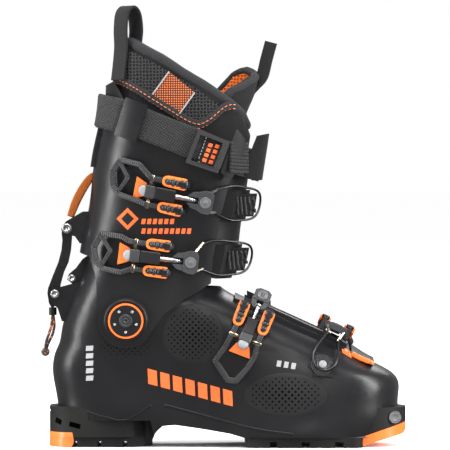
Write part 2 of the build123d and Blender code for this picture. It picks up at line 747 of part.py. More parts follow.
def cuff_cable(plane, lean, base_z):
    """The wire loop: out of the yoke, over the shell, round the catch and back to the yoke."""
    ends = []
    for v in (8.2, -8.2):
        spot = turned(Vertex(47, v, 8.6), lean).moved(plane.location)
        ends.append(tuple(spot.center()))
    upper, lower = ends
    path = [upper]
    path += [(x, -cuff_half(x, z + base_z, 3.2), z + base_z) for x, z in ((-2 + base_x(base_z), 15.5), (8 + base_x(base_z), 16.4))]
    for y, z, grow in ((-34, 15, 5), (-23, 10, 10.6), (-19, 1, 11.4), (-23, -8, 10.6), (-34, -12, 5)):
        path.append((front_x(y, z + base_z, grow), y, z + base_z))
    path += [(x, -cuff_half(x, z + base_z, 3.2), z + base_z) for x, z in ((4 + base_x(base_z), -12), (-6 + base_x(base_z), -8.4))]
    path.append(lower)
    return tube(path, 0.95)


def toe_wire(plane, lean):
    ends = []
    for v in (8.2, -8.2):
        spot = turned(Vertex(47, v, 8.6), lean).moved(plane.location)
        ends.append(tuple(spot.center()))
    near, far = sorted(ends)
    path = [near]
    for x, z, grow in ((73, 83, 4.4), (70.5, 75, 5.0), (73, 67.5, 5.8), (80, 64.5, 5.9), (87.5, 67.5, 5.8),
                       (91, 74.5, 5.0), (91.5, 81, 4.4)):
        path.append((x, shell_middle(x) - shell_half(x, z, grow), z))
    path.append(far)
    return tube(path, 0.95)


def base_x(base_z):
    return -13.4 if base_z < 170 else 0.0


def cuff_catch(base_z):
    z_low, z_high = base_z - 9, base_z + 12
    box = [(-60, z_low - 4), (60, z_low - 4), (60, z_high + 1), (-60, z_high + 1)]
    catch = layer(cuff_solid, -3.35, 1.2, box, -36, -14)
    outline = [(-60, z_low), (60, z_low), (60, z_high - 2), (-60, z_high - 2)]
    for y in (-32, -26, -20):
        catch = join(catch, layer(cuff_solid, 0.8, 7.6, outline, y, y + 3.2))
    return cut(catch, made["cuff_shell"])


def place(part, plane):
    return part.moved(plane.location)


def save_buckle(name, plane, lean, ground, cable, yoke_half=9.5, drop=1.0, sway=0.0):
    save(cut(place(buckle_base(), plane), ground), f"{name}_base")
    save(place(join(buckle_lever(drop, sway), buckle_clips(), buckle_pins()), plane), f"{name}_lever")
    latch = join(buckle_barrel(), buckle_rod(), buckle_yoke(yoke_half), buckle_emblem())
    latch = place(turned(latch, lean), plane)
    save(latch, f"{name}_latch")
    if cable is not None:
        save(cut(cable, latch), f"{name}_cable")


for name, x, z, base, fall, sway in (("upper", -60.8, 212.6, 200.0, 0.19, 3.0), ("lower", -74.2, 159.1, 155.0, 0.12, -2.6)):
    plane = surface_plane(x, z, cuff_half, no_middle, (0.981, 0, -fall), shift=-8)
    print(name, plane)
    save_buckle(name, plane, 5.0, cuff_solid(0), cuff_cable(plane, 5.0, base), sway=sway)
    save(cuff_catch(base), f"{name}_catch")

plane = surface_plane(15.2, 91.5, shell_half, shell_middle, (0.363, 0, 0.932)).offset(3.2)
print("instep", plane)
save_buckle("instep", plane, 34.0, shell_solid(0), None, 7.0, 0.0)
plane = surface_plane(86, 86, shell_half, shell_middle, (0.05, -0.98, 0.19), side=1).offset(3.0)
print("toe", plane)
toe_cable = toe_wire(plane, 14.0)
save_buckle("toe", plane, 14.0, shell_solid(2.45), toe_cable)


def make_toe_catch():
    rack = layer(shell_solid, 0, 2.0, [(66, 68), (78, 57), (90, 63), (90, 71), (72, 80)], -90, -20)
    for z in (60, 64.5, 69, 73.5):
        rack = join(rack, layer(shell_solid, 1.8, 4.0, [(70, z), (87, z - 1), (87, z + 1.2), (70, z + 2.2)], -90, -20))
    return rack


def make_instep_catch():
    catch = layer(shell_solid, 2.5, 4.2, [(14, 60), (38, 60), (38, 160), (14, 160)], 3, 22)
    for y in (6, 11, 16):
        catch = join(catch, layer(shell_solid, 4.0, 7.4, [(16, 60), (36, 60), (36, 160), (16, 160)], y, y + 2.6))
    return cut(catch, made["cover"])


save(make_toe_catch(), "toe_catch")
save(make_instep_catch(), "instep_catch")
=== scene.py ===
import json
import math

import bmesh
import bpy
from mathutils import Matrix, Vector
from mathutils.bvhtree import BVHTree


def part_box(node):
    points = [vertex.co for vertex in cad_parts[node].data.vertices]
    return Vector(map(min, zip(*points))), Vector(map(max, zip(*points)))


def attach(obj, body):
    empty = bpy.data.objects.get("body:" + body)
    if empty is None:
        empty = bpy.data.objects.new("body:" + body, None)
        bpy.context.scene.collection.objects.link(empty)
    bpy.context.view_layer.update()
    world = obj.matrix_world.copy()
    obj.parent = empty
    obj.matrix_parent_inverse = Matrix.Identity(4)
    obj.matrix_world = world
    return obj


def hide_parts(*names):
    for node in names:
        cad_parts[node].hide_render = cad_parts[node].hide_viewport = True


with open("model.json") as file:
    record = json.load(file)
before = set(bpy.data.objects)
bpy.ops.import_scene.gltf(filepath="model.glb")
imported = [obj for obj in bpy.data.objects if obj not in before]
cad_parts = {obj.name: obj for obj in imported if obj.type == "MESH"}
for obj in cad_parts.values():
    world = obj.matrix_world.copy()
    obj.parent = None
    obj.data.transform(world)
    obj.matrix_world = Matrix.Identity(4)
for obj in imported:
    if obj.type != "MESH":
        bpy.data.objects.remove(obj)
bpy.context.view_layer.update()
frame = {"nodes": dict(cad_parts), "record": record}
NODES = frame["nodes"]

MID_Y = (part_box("heel_tread")[0][1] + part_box("heel_tread")[1][1]) / 2
MM = 0.001
UP = Vector((0, 0, 1))
OUTER, INNER = -1, 1  # the boot's two sides, as signs of Y
SIDE_NAMES = {OUTER: "outer", INNER: "inner"}


# ---------------------------------------------------------------- camera, light and floor
CAMERA_DISTANCE, CAMERA_RISE = 4.0, math.radians(1.2)
CAMERA_TARGET = Vector((-0.0023, MID_Y, 0.1834))
SENSOR_WIDTH, VIEW_WIDTH = 36.0, 0.37593  # millimetres of sensor, metres seen at the boot
LIGHT_AIM = (0, MID_Y, 0.18)
LIGHTS = {  # place, size and power
    "top": ((-0.1, -0.5, 1.5), (1.0, 0.7), 26),
    "left_strip": ((-1.3, -0.35, 0.5), (0.35, 1.3), 22),
    "right_strip": ((1.35, -0.55, 0.6), (0.3, 1.2), 28),
    "front_soft": ((0.25, -1.6, 0.75), (0.25, 1.0), 5),
    "back": ((0.3, 1.2, 1.0), (1.2, 0.6), 12),
}
REFLECTED_WORLD = 0.24  # strength of the white world as glossy surfaces see it
FLOOR_SIZE, FLOOR_LEVEL, FLOOR_WHITE = 30, -0.0004, 0.985


def add_camera():
    """A long lens level with the cuff, looking at the boot's outer side."""
    data = bpy.data.cameras.new("camera")
    data.sensor_width = SENSOR_WIDTH
    data.lens = SENSOR_WIDTH * CAMERA_DISTANCE / VIEW_WIDTH
    data.clip_end = 20.0
    camera = bpy.data.objects.new("camera", data)
    away = Vector((0, -math.cos(CAMERA_RISE), math.sin(CAMERA_RISE)))
    camera.location = CAMERA_TARGET + CAMERA_DISTANCE * away
    camera.rotation_euler = (math.pi / 2 - CAMERA_RISE, 0, 0)
    bpy.context.scene.collection.objects.link(camera)
    bpy.context.scene.camera = camera


def add_area(name, place, size, power):
    """A rectangular light turned toward the boot."""
    data = bpy.data.lights.new(name, "AREA")
    data.shape = "RECTANGLE"
    data.size, data.size_y = size
    data.energy = power
    light = bpy.data.objects.new(name, data)
    light.location = place
    light.rotation_euler = (Vector(LIGHT_AIM) - Vector(place)).to_track_quat("-Z", "Y").to_euler()
    bpy.context.scene.collection.objects.link(light)


def add_stage():
    world = bpy.data.worlds.new("studio")
    world.use_nodes = True
    tree = world.node_tree
    background = tree.nodes["Background"]
    background.inputs["Color"].default_value = (1, 1, 1, 1)
    rays = tree.nodes.new("ShaderNodeLightPath")
    level = tree.nodes.new("ShaderNodeMapRange")
    level.inputs["To Min"].default_value = 1.0
    level.inputs["To Max"].default_value = REFLECTED_WORLD
    tree.links.new(rays.outputs["Is Glossy Ray"], level.inputs["Value"])
    tree.links.new(level.outputs["Result"], background.inputs["Strength"])
    bpy.context.scene.world = world
    bpy.context.scene.view_settings.view_transform = "Standard"
    for name, (place, size, power) in LIGHTS.items():
        add_area(name, place, size, power)
    bpy.ops.mesh.primitive_plane_add(size=FLOOR_SIZE, location=(0, 0, FLOOR_LEVEL))
    floor = bpy.context.object
    floor.name = "floor"
    floor.visible_glossy = False
    floor.data.materials.append(plain_floor())


def plain_floor():
    """Matt white, without a reflection of its own."""
    material = bpy.data.materials.new("floor")
    material.use_nodes = True
    shader = material.node_tree.nodes["Principled BSDF"]
    shader.inputs["Base Color"].default_value = (FLOOR_WHITE, FLOOR_WHITE, FLOOR_WHITE, 1)
    shader.inputs["Roughness"].default_value = 1.0
    shader.inputs["Specular IOR Level"].default_value = 0.0
    return material


# ---------------------------------------------------------------- materials
class Tree:
    """A short way to write a node tree on one Principled shader; scales are per metre."""

    def __init__(self, name, roughness=0.5, metallic=0.0, coat=0.0, sheen=0.0, specular=0.5):
        self.material = bpy.data.materials.new(name)
        self.material.use_nodes = True
        self.nodes, self.links = self.material.node_tree.nodes, self.material.node_tree.links
        self.shader = self.nodes["Principled BSDF"]
        values = {"Roughness": roughness, "Metallic": metallic, "Coat Weight": coat, "Coat Roughness": 0.15,
                  "Sheen Weight": sheen, "Specular IOR Level": specular}
        for key, value in values.items():
            self.shader.inputs[key].default_value = value

    def add(self, kind, **values):
        node = self.nodes.new(kind)
        for key, value in values.items():
            if hasattr(node, key):
                setattr(node, key, value)
            else:
                node.inputs[key].default_value = value
        return node

    def link(self, out, into):
        self.links.new(out, into)

    def place(self, scale=(1, 1, 1), turn=(0, 0, 0)):
        source = self.add("ShaderNodeTexCoord")
        mapping = self.add("ShaderNodeMapping", Scale=scale, Rotation=turn)
        self.link(source.outputs["Object"], mapping.inputs["Vector"])
        return mapping.outputs["Vector"]

    def texture(self, kind, output, vector, **values):
        node = self.add(kind, **values)
        self.link(vector or self.place(), node.inputs["Vector"])
        return node.outputs[output]

    def noise(self, scale, detail=3.0, vector=None):
        return self.texture("ShaderNodeTexNoise", "Fac", vector, Scale=scale, Detail=detail, Roughness=0.5)

    def wave(self, direction, scale, distortion, vector=None):
        return self.texture("ShaderNodeTexWave", "Fac", vector, wave_type="BANDS", bands_direction=direction,
                            Scale=scale, Distortion=distortion)

    def cells(self, feature, randomness, vector):
        return self.texture("ShaderNodeTexVoronoi", "Distance", vector, voronoi_dimensions="2D",
                            feature=feature, Scale=1.0, Randomness=randomness)

    def ramp(self, value, stops):
        node = self.add("ShaderNodeValToRGB")
        elements = node.color_ramp.elements
        while len(elements) < len(stops):
            elements.new(0.5)
        for element, (position, colour) in zip(elements, stops):
            element.position = position
            element.color = (*colour, 1) if isinstance(colour, tuple) else (colour, colour, colour, 1)
        self.link(value, node.inputs["Fac"])
        return node.outputs["Color"]

    def math(self, operation, a, b):
        node = self.add("ShaderNodeMath", operation=operation)
        for socket, value in zip(node.inputs, (a, b)):
            if isinstance(value, (int, float)):
                socket.default_value = value
            else:
                self.link(value, socket)
        return node.outputs[0]

    def mixed(self, factor, first, second):
        """One colour, with another where the factor is one."""
        node = self.add("ShaderNodeMix", data_type="RGBA")
        factor_socket, first_socket, second_socket = (node.inputs[k] for k in (0, 6, 7))
        self.link(factor, factor_socket)
        first_socket.default_value, second_socket.default_value = (*first, 1), (*second, 1)
        return node.outputs[2]

    def bump(self, height, strength, distance):
        node = self.add("ShaderNodeBump", Strength=strength, Distance=distance)
        self.link(height, node.inputs["Height"])
        self.link(node.outputs["Normal"], self.shader.inputs["Normal"])

    def paint(self, colour):
        self.link(colour, self.shader.inputs["Base Color"])

    def colour(self, value, stops):
        self.paint(self.ramp(value, stops))

    def rough(self, value, limits):
        grade = self.ramp(value, [(0.3, limits[0]), (0.7, limits[1])])
        self.link(grade, self.shader.inputs["Roughness"])

    def fuzzy(self, height, share, scale, detail):
        """A height with fine fibre noise added."""
        return self.math("ADD", height, self.math("MULTIPLY", self.noise(scale, detail), share))


def ink(level, blue=0.0):
    """A grey, a little bluer where asked."""
    return level, level, level + blue


def moulded(name, dark, light, rough=(0.36, 0.5), grain=2600.0, strength=0.18, coat=0.0, specular=0.5):
    """Injection-moulded plastic: cloudy colour, fine erosion grain and faint handling marks."""
    tree = Tree(name, coat=coat, specular=specular)
    tree.colour(tree.noise(16.0, 4.0), [(0.3, dark), (0.72, light)])
    tree.rough(tree.noise(55.0, 5.0), rough)
    tree.bump(tree.noise(grain, 2.0), strength, 0.00008)
    return tree.material


def metal(name, colour, rough=(0.2, 0.38)):
    """Brushed metal, drawn along X."""
    tree = Tree(name, metallic=1.0)
    brush = tree.noise(1.0, 3.0, tree.place((60, 900, 900)))
    tree.colour(tree.noise(90.0), [(0.3, tuple(c * 0.8 for c in colour)), (0.7, colour)])
    tree.rough(brush, rough)
    tree.bump(brush, 0.12, 0.00005)
    return tree.material


def woven(name, dark, light, pitch=0.0011, strength=0.9, turn=(0, 0, 0)):
    """Plain or ribbed webbing: two crossed sets of yarns that swell where they pass over."""
    tree = Tree(name, roughness=0.85, sheen=0.04, specular=0.2)
    vector = tree.place((1.0 / pitch,) * 3, turn)
    weave = tree.math("MULTIPLY", tree.wave("DIAGONAL", 1.0, 0.4, vector), tree.wave("Z", 0.6, 0.5, vector))
    height = tree.fuzzy(weave, 0.35, 1800.0, 4.0)
    tree.colour(height, [(0.15, dark), (0.85, light)])
    tree.bump(height, strength, 0.0003)
    return tree.material


def spacer_mesh(name, dark, light):
    """Open knitted mesh: round holes in a staggered net over a dark backing."""
    tree = Tree(name, roughness=0.85, sheen=0.04, specular=0.2)
    cells = tree.cells("DISTANCE_TO_EDGE", 0.3, tree.place((360, 360, 360), (math.pi / 2, 0.0, 0.0)))
    net = tree.ramp(cells, [(0.06, 1.0), (0.22, 0.0)])
    tree.colour(tree.fuzzy(net, 0.2, 1500.0, 3.0), [(0.1, dark), (0.9, light)])
    tree.bump(tree.fuzzy(net, 0.25, 1500.0, 3.0), 1.0, 0.0009)
    return tree.material


def label_weave():
    """Grey woven label with an even field of small orange marks."""
    tree = Tree("woven label", roughness=0.8, sheen=0.03, specular=0.2)
    marks = tree.cells("F1", 0.0, tree.place((520, 520, 520), (math.pi / 2, 0.0, 0.0)))
    spot = tree.ramp(marks, [(0.24, 1.0), (0.34, 0.0)])
    tree.paint(tree.mixed(spot, (0.016, 0.016, 0.018), (0.80, 0.16, 0.02)))
    tree.bump(tree.wave("Z", 1100.0, 0.5), 0.6, 0.0002)
    return tree.material


def strap_weave():
    """Power strap webbing: rows of rounded ribs that lean, grey on black."""
    tree = Tree("strap webbing", roughness=0.8, sheen=0.04, specular=0.25)
    vector = tree.place((420, 420, 420), (0.0, 0.35, 0.0))
    cell = tree.math("MULTIPLY", tree.wave("X", 0.62, 0.3, vector), tree.wave("Z", 0.62, 0.3, vector))
    height = tree.fuzzy(cell, 0.2, 2200.0, 3.0)
    tree.colour(height, [(0.1, ink(0.004)), (0.55, ink(0.028, 0.002)), (1.0, ink(0.075, 0.003))])
    tree.bump(height, 1.0, 0.0005)
    return tree.material


def flecked_cord():
    """Black braid with orange flecks."""
    tree = Tree("cord braid", roughness=0.75, sheen=0.2)
    strands = [tree.wave("DIAGONAL", 420.0, 1.5, tree.place(scale)) for scale in ((1, 1, 1), (1, 1, -1))]
    flecks = tree.ramp(tree.noise(520.0, 1.0), [(0.60, 0.0), (0.64, 1.0)])
    tree.paint(tree.mixed(flecks, (0.014, 0.014, 0.015), (0.75, 0.14, 0.02)))
    tree.bump(tree.math("MAXIMUM", *strands), 0.8, 0.0003)
    return tree.material


def thread(name, colour):
    """Twisted thread."""
    tree = Tree(name, roughness=0.6, sheen=0.3)
    twist = tree.wave("DIAGONAL", 1300.0, 0.3)
    tree.colour(twist, [(0.2, tuple(c * 0.6 for c in colour)), (0.8, colour)])
    tree.bump(twist, 0.6, 0.0002)
    return tree.material


def build_materials():
    return {
        "shell_black": moulded("shell plastic", ink(0.006, 0.001), ink(0.010, 0.001), (0.28, 0.38),
                               specular=0.36),
        "flap_black": moulded("flap plastic", ink(0.005, 0.001), ink(0.009, 0.001), (0.36, 0.48), 2200, 0.25,
                              specular=0.28),
        "rubber_black": moulded("sole rubber", ink(0.005), (0.011, 0.011, 0.010), (0.55, 0.75), 1300, 0.5,
                                specular=0.25),
        "orange_plastic": moulded("orange plastic", (0.80, 0.115, 0.007), (0.90, 0.16, 0.015), (0.28, 0.4),
                                  1800, 0.1, 0.25),
        "lever_black": moulded("lever alloy", ink(0.016, 0.001), ink(0.032, 0.002), (0.26, 0.38), 1500, 0.2,
                               specular=0.4),
        "latch_grey": moulded("latch alloy", ink(0.022, 0.002), (0.04, 0.041, 0.043), (0.28, 0.4), 1500, 0.2,
                              specular=0.4),
        "steel": metal("bright steel", ink(0.74, 0.01)),
        "cable_steel": metal("cable", ink(0.06, 0.002), (0.3, 0.45)),
        "webbing": strap_weave(),
        "webbing_orange": woven("orange webbing", (0.16, 0.035, 0.003), (0.42, 0.11, 0.012), 0.0013, 0.8),
        "liner_fabric": woven("liner fabric", ink(0.004), ink(0.018, 0.001), 0.0016),
        "foam": woven("foam board", ink(0.02), ink(0.06), 0.003),
        "cord": flecked_cord(),
        "clip_orange": moulded("clip orange", (0.80, 0.13, 0.010), (0.90, 0.19, 0.02), (0.30, 0.42),
                               1500, 0.12),
        "pin_brass": metal("brass pin", (0.55, 0.44, 0.28)),
        "barrel_black": moulded("barrel", ink(0.006, 0.001), ink(0.012, 0.001), (0.28, 0.4),
                                1500, 0.15, 0.1, 0.35),
        "pale_grey": moulded("pale cap", (0.17, 0.175, 0.185), (0.25, 0.255, 0.265), (0.35, 0.45),
                             1500, 0.12),
        "medal_grey": moulded("medal", ink(0.06, 0.003), ink(0.11, 0.005), (0.3, 0.4), 1500, 0.12),
        "ferrule": metal("ferrule", (0.72, 0.66, 0.55)),
        "label_black": woven("black label", ink(0.004), ink(0.018, 0.002), 0.0006, 0.5),
        "rib_webbing": woven("ribbed webbing", ink(0.006), ink(0.06, 0.003), 0.0021, 1.0, (0.0, 0.9, 0.0)),
        "elastic": woven("elastic cover", ink(0.010), ink(0.055, 0.003), 0.0007, 0.8),
        "spacer_mesh": spacer_mesh("spacer mesh", ink(0.003), ink(0.030, 0.002)),
        "orange_mesh": spacer_mesh("orange mesh", (0.30, 0.045, 0.004), (0.85, 0.17, 0.02)),
        "binding": woven("edge binding", ink(0.010, 0.001), ink(0.042, 0.004), 0.0009, 0.7),
        "label_weave": label_weave(),
        "pale_thread": thread("pale thread", ink(0.30, 0.01)),
        "thread": thread("orange thread", (0.85, 0.2, 0.03)),
        "tongue_fabric": woven("tongue fabric", ink(0.005), ink(0.020, 0.001), 0.0013, 0.8),
        "webbing_fine": woven("fine webbing", ink(0.005), ink(0.024, 0.002), 0.0012, 1.0),
        # painted shade: near-black colour and almost no reflection stand in for the shade inside each
        # dimple's hollow
        "dimple_painted_shade": moulded("dimple_painted_shade", ink(0.0006, 0.0001), ink(0.0014, 0.0001), (0.7, 0.85), specular=0.03),
        "pad_black": moulded("pad plastic", ink(0.008, 0.001), ink(0.012, 0.001), (0.36, 0.46),
                             specular=0.36),
        "print_orange": moulded("orange print", (0.66, 0.085, 0.005), (0.76, 0.115, 0.010), (0.4, 0.5),
                                2500, 0.1),
        "print_grey": moulded("grey print", ink(0.24, 0.01), ink(0.32, 0.01), (0.4, 0.5), 2500, 0.1),
    }


MATERIALS = build_materials()


def finish_cad_nodes():
    """Gives each CAD node the material of its slot."""
    slots = {entry["node"]: entry["material_slot"] for entry in frame["record"]["subparts"]}
    for name, node in NODES.items():
        node.data.materials.clear()
        node.data.materials.append(MATERIALS[slots[name]])


finish_cad_nodes()


# ---------------------------------------------------------------- mesh tools
WELD_DISTANCE = 1e-6
PIECE_EDGE_ANGLE, CAD_EDGE_ANGLE = 40, 38  # degrees, where a rounded edge starts


def make_mesh(name, part, material, body, slot=None, smooth=True, cad=(), bevel=0.0):
    """A piece of the visual model from its (vertices, faces), in metres."""
    verts, faces = part
    mesh = bpy.data.meshes.new(name)
    mesh.from_pydata([tuple(v) for v in verts], [], faces)
    mesh.validate()
    work = bmesh.new()
    work.from_mesh(mesh)
    bmesh.ops.remove_doubles(work, verts=work.verts, dist=WELD_DISTANCE)
    bmesh.ops.recalc_face_normals(work, faces=work.faces)
    work.to_mesh(mesh)
    work.free()
    piece = bpy.data.objects.new(name, mesh)
    bpy.context.scene.collection.objects.link(piece)
    mesh.materials.append(MATERIALS[material])
    for polygon in mesh.polygons:
        polygon.use_smooth = smooth
    if bevel:
        round_edges(piece, "bevel", bevel, PIECE_EDGE_ANGLE)
    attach(piece, body)
    if cad:
        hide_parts(*cad)
    return piece


def round_edges(piece, name, width, angle):
    """A small bevel on edges sharper than `angle` degrees."""
    modifier = piece.modifiers.new(name, "BEVEL")
    modifier.width, modifier.segments, modifier.limit_method = width, 2, "ANGLE"
    modifier.angle_limit = math.radians(angle)
    modifier.harden_normals = True


def catmull(points, step):
    """Points about `step` apart on a smooth curve through the given ones."""
    last, result = len(points) - 1, []
    for i in range(last):
        p0, p1, p2, p3 = (points[max(0, min(last, i + k))] for k in (-1, 0, 1, 2))
        pieces = max(1, round((p2 - p1).length / step))
        for k in range(pieces):
            t = k / pieces
            result.append(0.5 * (2 * p1 + (p2 - p0) * t + (2 * p0 - 5 * p1 + 4 * p2 - p3) * t * t
                                 + (3 * p1 - p0 - 3 * p2 + p3) * t ** 3))
    return result + [points[-1].copy()]


def polyline(points, step):
    """Points about `step` apart on straight lines through the given ones."""
    result = []
    for a, b in zip(points, points[1:]):
        pieces = max(1, round((b - a).length / step))
        result += [a.lerp(b, k / pieces) for k in range(pieces)]
    return result + [points[-1].copy()]


def ring_section(radius, steps=10):
    turns = [2 * math.pi * k / steps for k in range(steps)]
    return [(radius * math.cos(turn), radius * math.sin(turn)) for turn in turns]


def rounded_box(half_width, half_height, corner, steps=3):
    """The section of a bar with rounded corners."""
    points = []
    for quarter, (sx, sy) in enumerate(((1, 1), (-1, 1), (-1, -1), (1, -1))):
        for k in range(steps + 1):
            angle = math.pi / 2 * (quarter + k / steps)
            points.append((sx * (half_width - corner) + corner * math.cos(angle),
                           sy * (half_height - corner) + corner * math.sin(angle)))
    return points


def skin(columns, size, closed=True, base=0):
    """Quads between neighbouring columns, each a closed ring of `size` points."""
    faces = []
    for i in range(columns if closed else columns - 1):
        here, there = base + i * size, base + (i + 1) % columns * size
        for k in range(size):
            m = (k + 1) % size
            faces.append((here + k, there + k, there + m, here + m))
    return faces


def caps(columns, size):
    """The two end faces of an open row of columns."""
    return [tuple(range(size)), tuple((columns - 1) * size + k for k in reversed(range(size)))]


def sweep(path, ups, section, closed=False, shape=None):
    """A section carried along a path. `ups` is one vector or one a point; `shape(i, a, b)` may reshape it."""
    verts, total, size = [], len(path), len(section)
    for i, point in enumerate(path):
        before = path[i - 1] if closed or i > 0 else path[i]
        after = path[(i + 1) % total] if closed or i < total - 1 else path[i]
        tangent = (after - before).normalized()
        side = tangent.cross(ups if isinstance(ups, Vector) else ups[i]).normalized()
        up = side.cross(tangent).normalized()
        for a, b in section:
            if shape:
                a, b = shape(i, a, b)
            verts.append(point + side * a + up * b)
    return verts, skin(total, size, closed) + ([] if closed else caps(total, size))


def tape(line, section):
    """A section carried along a line of (place, normal) pairs on a surface."""
    return sweep([place for place, _ in line], [normal for _, normal in line], section)


def merge(*parts):
    """Several (vertices, faces) parts as one."""
    verts, faces = [], []
    for part_verts, part_faces in parts:
        base = len(verts)
        verts += part_verts
        faces += [tuple(base + i for i in face) for face in part_faces]
    return verts, faces


def moved(part, matrix):
    return [matrix @ v for v in part[0]], part[1]


def prism(outline, low, high):
    """An outline in the XY plane, raised from `low` to `high`."""
    count = len(outline)
    verts = [Vector((x, y, level)) for level in (low, high) for x, y in outline]
    faces = [tuple(range(count))[::-1], tuple(range(count, 2 * count))]
    faces += [(k, (k + 1) % count, count + (k + 1) % count, count + k) for k in range(count)]
    return verts, faces


def side_prism(profile, half):
    """A profile in the XZ plane, `half` wide on each side of it."""
    verts, faces = prism(profile, -half, half)
    return [Vector((v.x, v.z, v.y)) for v in verts], faces


def turning(profile, steps=24, place=Matrix()):
    """A profile of (distance along X, radius) turned about the X axis, then moved to its place."""
    verts, faces, size = [], [], len(profile)
    for k in range(steps):
        angle = 2 * math.pi * k / steps
        verts += [place @ Vector((x, r * math.cos(angle), r * math.sin(angle))) for x, r in profile]
    for k in range(steps):
        m = (k + 1) % steps
        faces += [(k * size + i, k * size + i + 1, m * size + i + 1, m * size + i) for i in range(size - 1)]
    return verts, faces


def disc_grid(around, radii):
    """Flat points (x, y) of a disc's centre and rings, with their faces."""
    points = [(0.0, 0.0)]
    for radius in radii:
        points += ring_section(radius, around)
    faces = [(0, 1 + k, 1 + (k + 1) % around) for k in range(around)]
    return points, faces + skin(len(radii), around, closed=False, base=1)


def lerp2(a, b, t):
    return a[0] + (b[0] - a[0]) * t, a[1] + (b[1] - a[1]) * t


def table(rows, value):
    """A value read from rows of (place, value), straight between them and level beyond them."""
    for (a, fa), (b, fb) in zip(rows, rows[1:]):
        if value <= b:
            return fa + (fb - fa) * max(0.0, (value - a) / (b - a))
    return rows[-1][1]


def clamp(value):
    return max(0.0, min(1.0, value))


# ---------------------------------------------------------------- reading the CAD surfaces
def box_of(node):
    low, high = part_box(node)
    return Vector(low), Vector(high)


def surface_tree(*names):
    """The surfaces of some CAD nodes, to be met by rays."""
    verts, faces = merge(*(([v.co.copy() for v in NODES[name].data.vertices],
                            [tuple(p.vertices) for p in NODES[name].data.polygons]) for name in names))
    return BVHTree.FromPolygons(verts, faces)


def from_side(tree, x, z, side=OUTER, lift=0.0):
    """The outermost point of a surface at (x, z), seen from one side, and its normal; all in millimetres."""
    hit, normal, _, _ = tree.ray_cast(Vector((x * MM, MID_Y + side * 0.3, z * MM)), Vector((0, -side, 0)))
    if hit is None:
        return None, None
    if normal.y * side < 0:
        normal = -normal
    return hit + normal * lift * MM, normal


def along_side(tree, points, side=OUTER, lift=0.3, step=0.6):
    """Close (place, normal) pairs on a surface along a line of (x, z) millimetres."""
    flat = catmull([Vector((x, 0, z)) for x, z in points], step)
    return [hit for hit in (from_side(tree, p.x, p.z, side, lift) for p in flat) if hit[0] is not None]


def laid(tree, place, steps, side=OUTER, lift=0.0):
    """A grid of quads laid on a surface; place(s, t) gives (x, z) for s and t from 0 to 1."""
    verts, faces, index = [], [], {}
    for i in range(steps[0] + 1):
        for k in range(steps[1] + 1):
            point, _ = from_side(tree, *place(i / steps[0], k / steps[1]), side, lift)
            if point is not None:
                index[i, k] = len(verts)
                verts.append(point)
    for i in range(steps[0]):
        for k in range(steps[1]):
            corners = [(i, k), (i + 1, k), (i + 1, k + 1), (i, k + 1)][::-side]
            if all(corner in index for corner in corners):
                faces.append(tuple(index[corner] for corner in corners))
    return verts, faces


def patch(tree, low, high, x_range, side, lift, steps):
    """A piece of surface between two curves z(x)."""
    def place(s, t):
        x = x_range[0] + (x_range[1] - x_range[0]) * s
        return x, table(low, x) + (table(high, x) - table(low, x)) * t

    return laid(tree, place, steps, side, lift)


def quad(tree, corners, lift, steps):
    """A four-cornered patch on the outer side."""
    a, b, c, d = corners
    return laid(tree, lambda s, t: lerp2(lerp2(a, d, t), lerp2(b, c, t), s), steps, lift=lift)


# ---------------------------------------------------------------- buckles
# A buckle's own frame is in millimetres: u toward the catch, v across, w out of the shell.
LEVER_PIVOT, LATCH_PIVOT = (23.0, 5.0), (-2.0, 8.6)
ROD_LEVEL = 8.6
ROD_THREADS, THREAD_PITCH = 16, 0.7
# Body, lean of the barrel in degrees, drop of the lever's tail, half width of the yoke and sway of the loop.
BUCKLES = {"upper": ("cuff", 5.0, 1.0, 9.5, 3.0), "lower": ("cuff", 5.0, 1.0, 9.5, -2.6),
           "instep": ("shell", 34.0, 0.0, 7.0, 0.0), "toe": ("shell", 14.0, 1.0, 9.5, 0.0)}
CUFF_LOOP = [(6.5, 11), (-3, 11.1), (-8.6, 13.4), (-15, 16.9), (-31.9, 17.1), (-37.3, 5), (-33.9, -6.1),
             (-27.6, -11.2), (-12, -12.5), (-3, -11), (6.5, -11)]
INSTEP_LOOP = [(6.5, 11), (-2, 11.6), (-14, 13), (-28, 16.6), (-38.8, 1), (-37, -5.5), (-24, -10.4),
               (-13, -12.6), (-2, -11), (6.5, -11)]
CLIP_PLAN = [(25.6, 7.9), (24.0, 7.5), (17, 7.6), (10, 7.8), (7.6, 9), (7.0, 11), (7.6, 13), (10, 14.2),
             (17, 14.4), (24.0, 14.5), (25.6, 14.1)]
ARM_OFFSET = 11  # from the buckle's middle to each side arm
# Start, end and half width of each tooth on an arm's cap.
ARM_TEETH = ((9.6, 13.2, 2.5), (14.4, 16.9, 3.3), (18.1, 20.6, 2.7), (21.8, 27.3, 3.6))
LOOP_STEP = 0.42  # between a lever's sections, four to a rib
MEDAL_PLACE = (44.4, 0, 11.3)
UPRIGHT = Matrix.Rotation(-math.pi / 2, 4, "Y")  # turns X to point out of the shell


def buckle_matrix(name):
    """The buckle's frame, found from the lever's and the latch's joints."""
    joints = {joint["name"]: joint for joint in frame["record"]["behaviour"]["joints"]}
    lever, latch = joints[name + "_lever_open"], joints[name + "_latch_turn"]
    pivot, pin = Vector(lever["pos_m"]), Vector(latch["pos_m"])
    across = Vector(lever["axis"]).normalized()
    arm = (pin - pivot).normalized()
    turned_arm = across.cross(arm)
    rise = math.atan2(LATCH_PIVOT[1] - LEVER_PIVOT[1], LEVER_PIVOT[0] - LATCH_PIVOT[0])
    along = turned_arm * math.sin(rise) - arm * math.cos(rise)
    out = arm * math.sin(rise) + turned_arm * math.cos(rise)
    matrix = Matrix((along, across, out)).transposed().to_4x4() @ Matrix.Scale(MM, 4)
    matrix.translation = pivot - (along * LEVER_PIVOT[0] + out * LEVER_PIVOT[1]) * MM
    return matrix


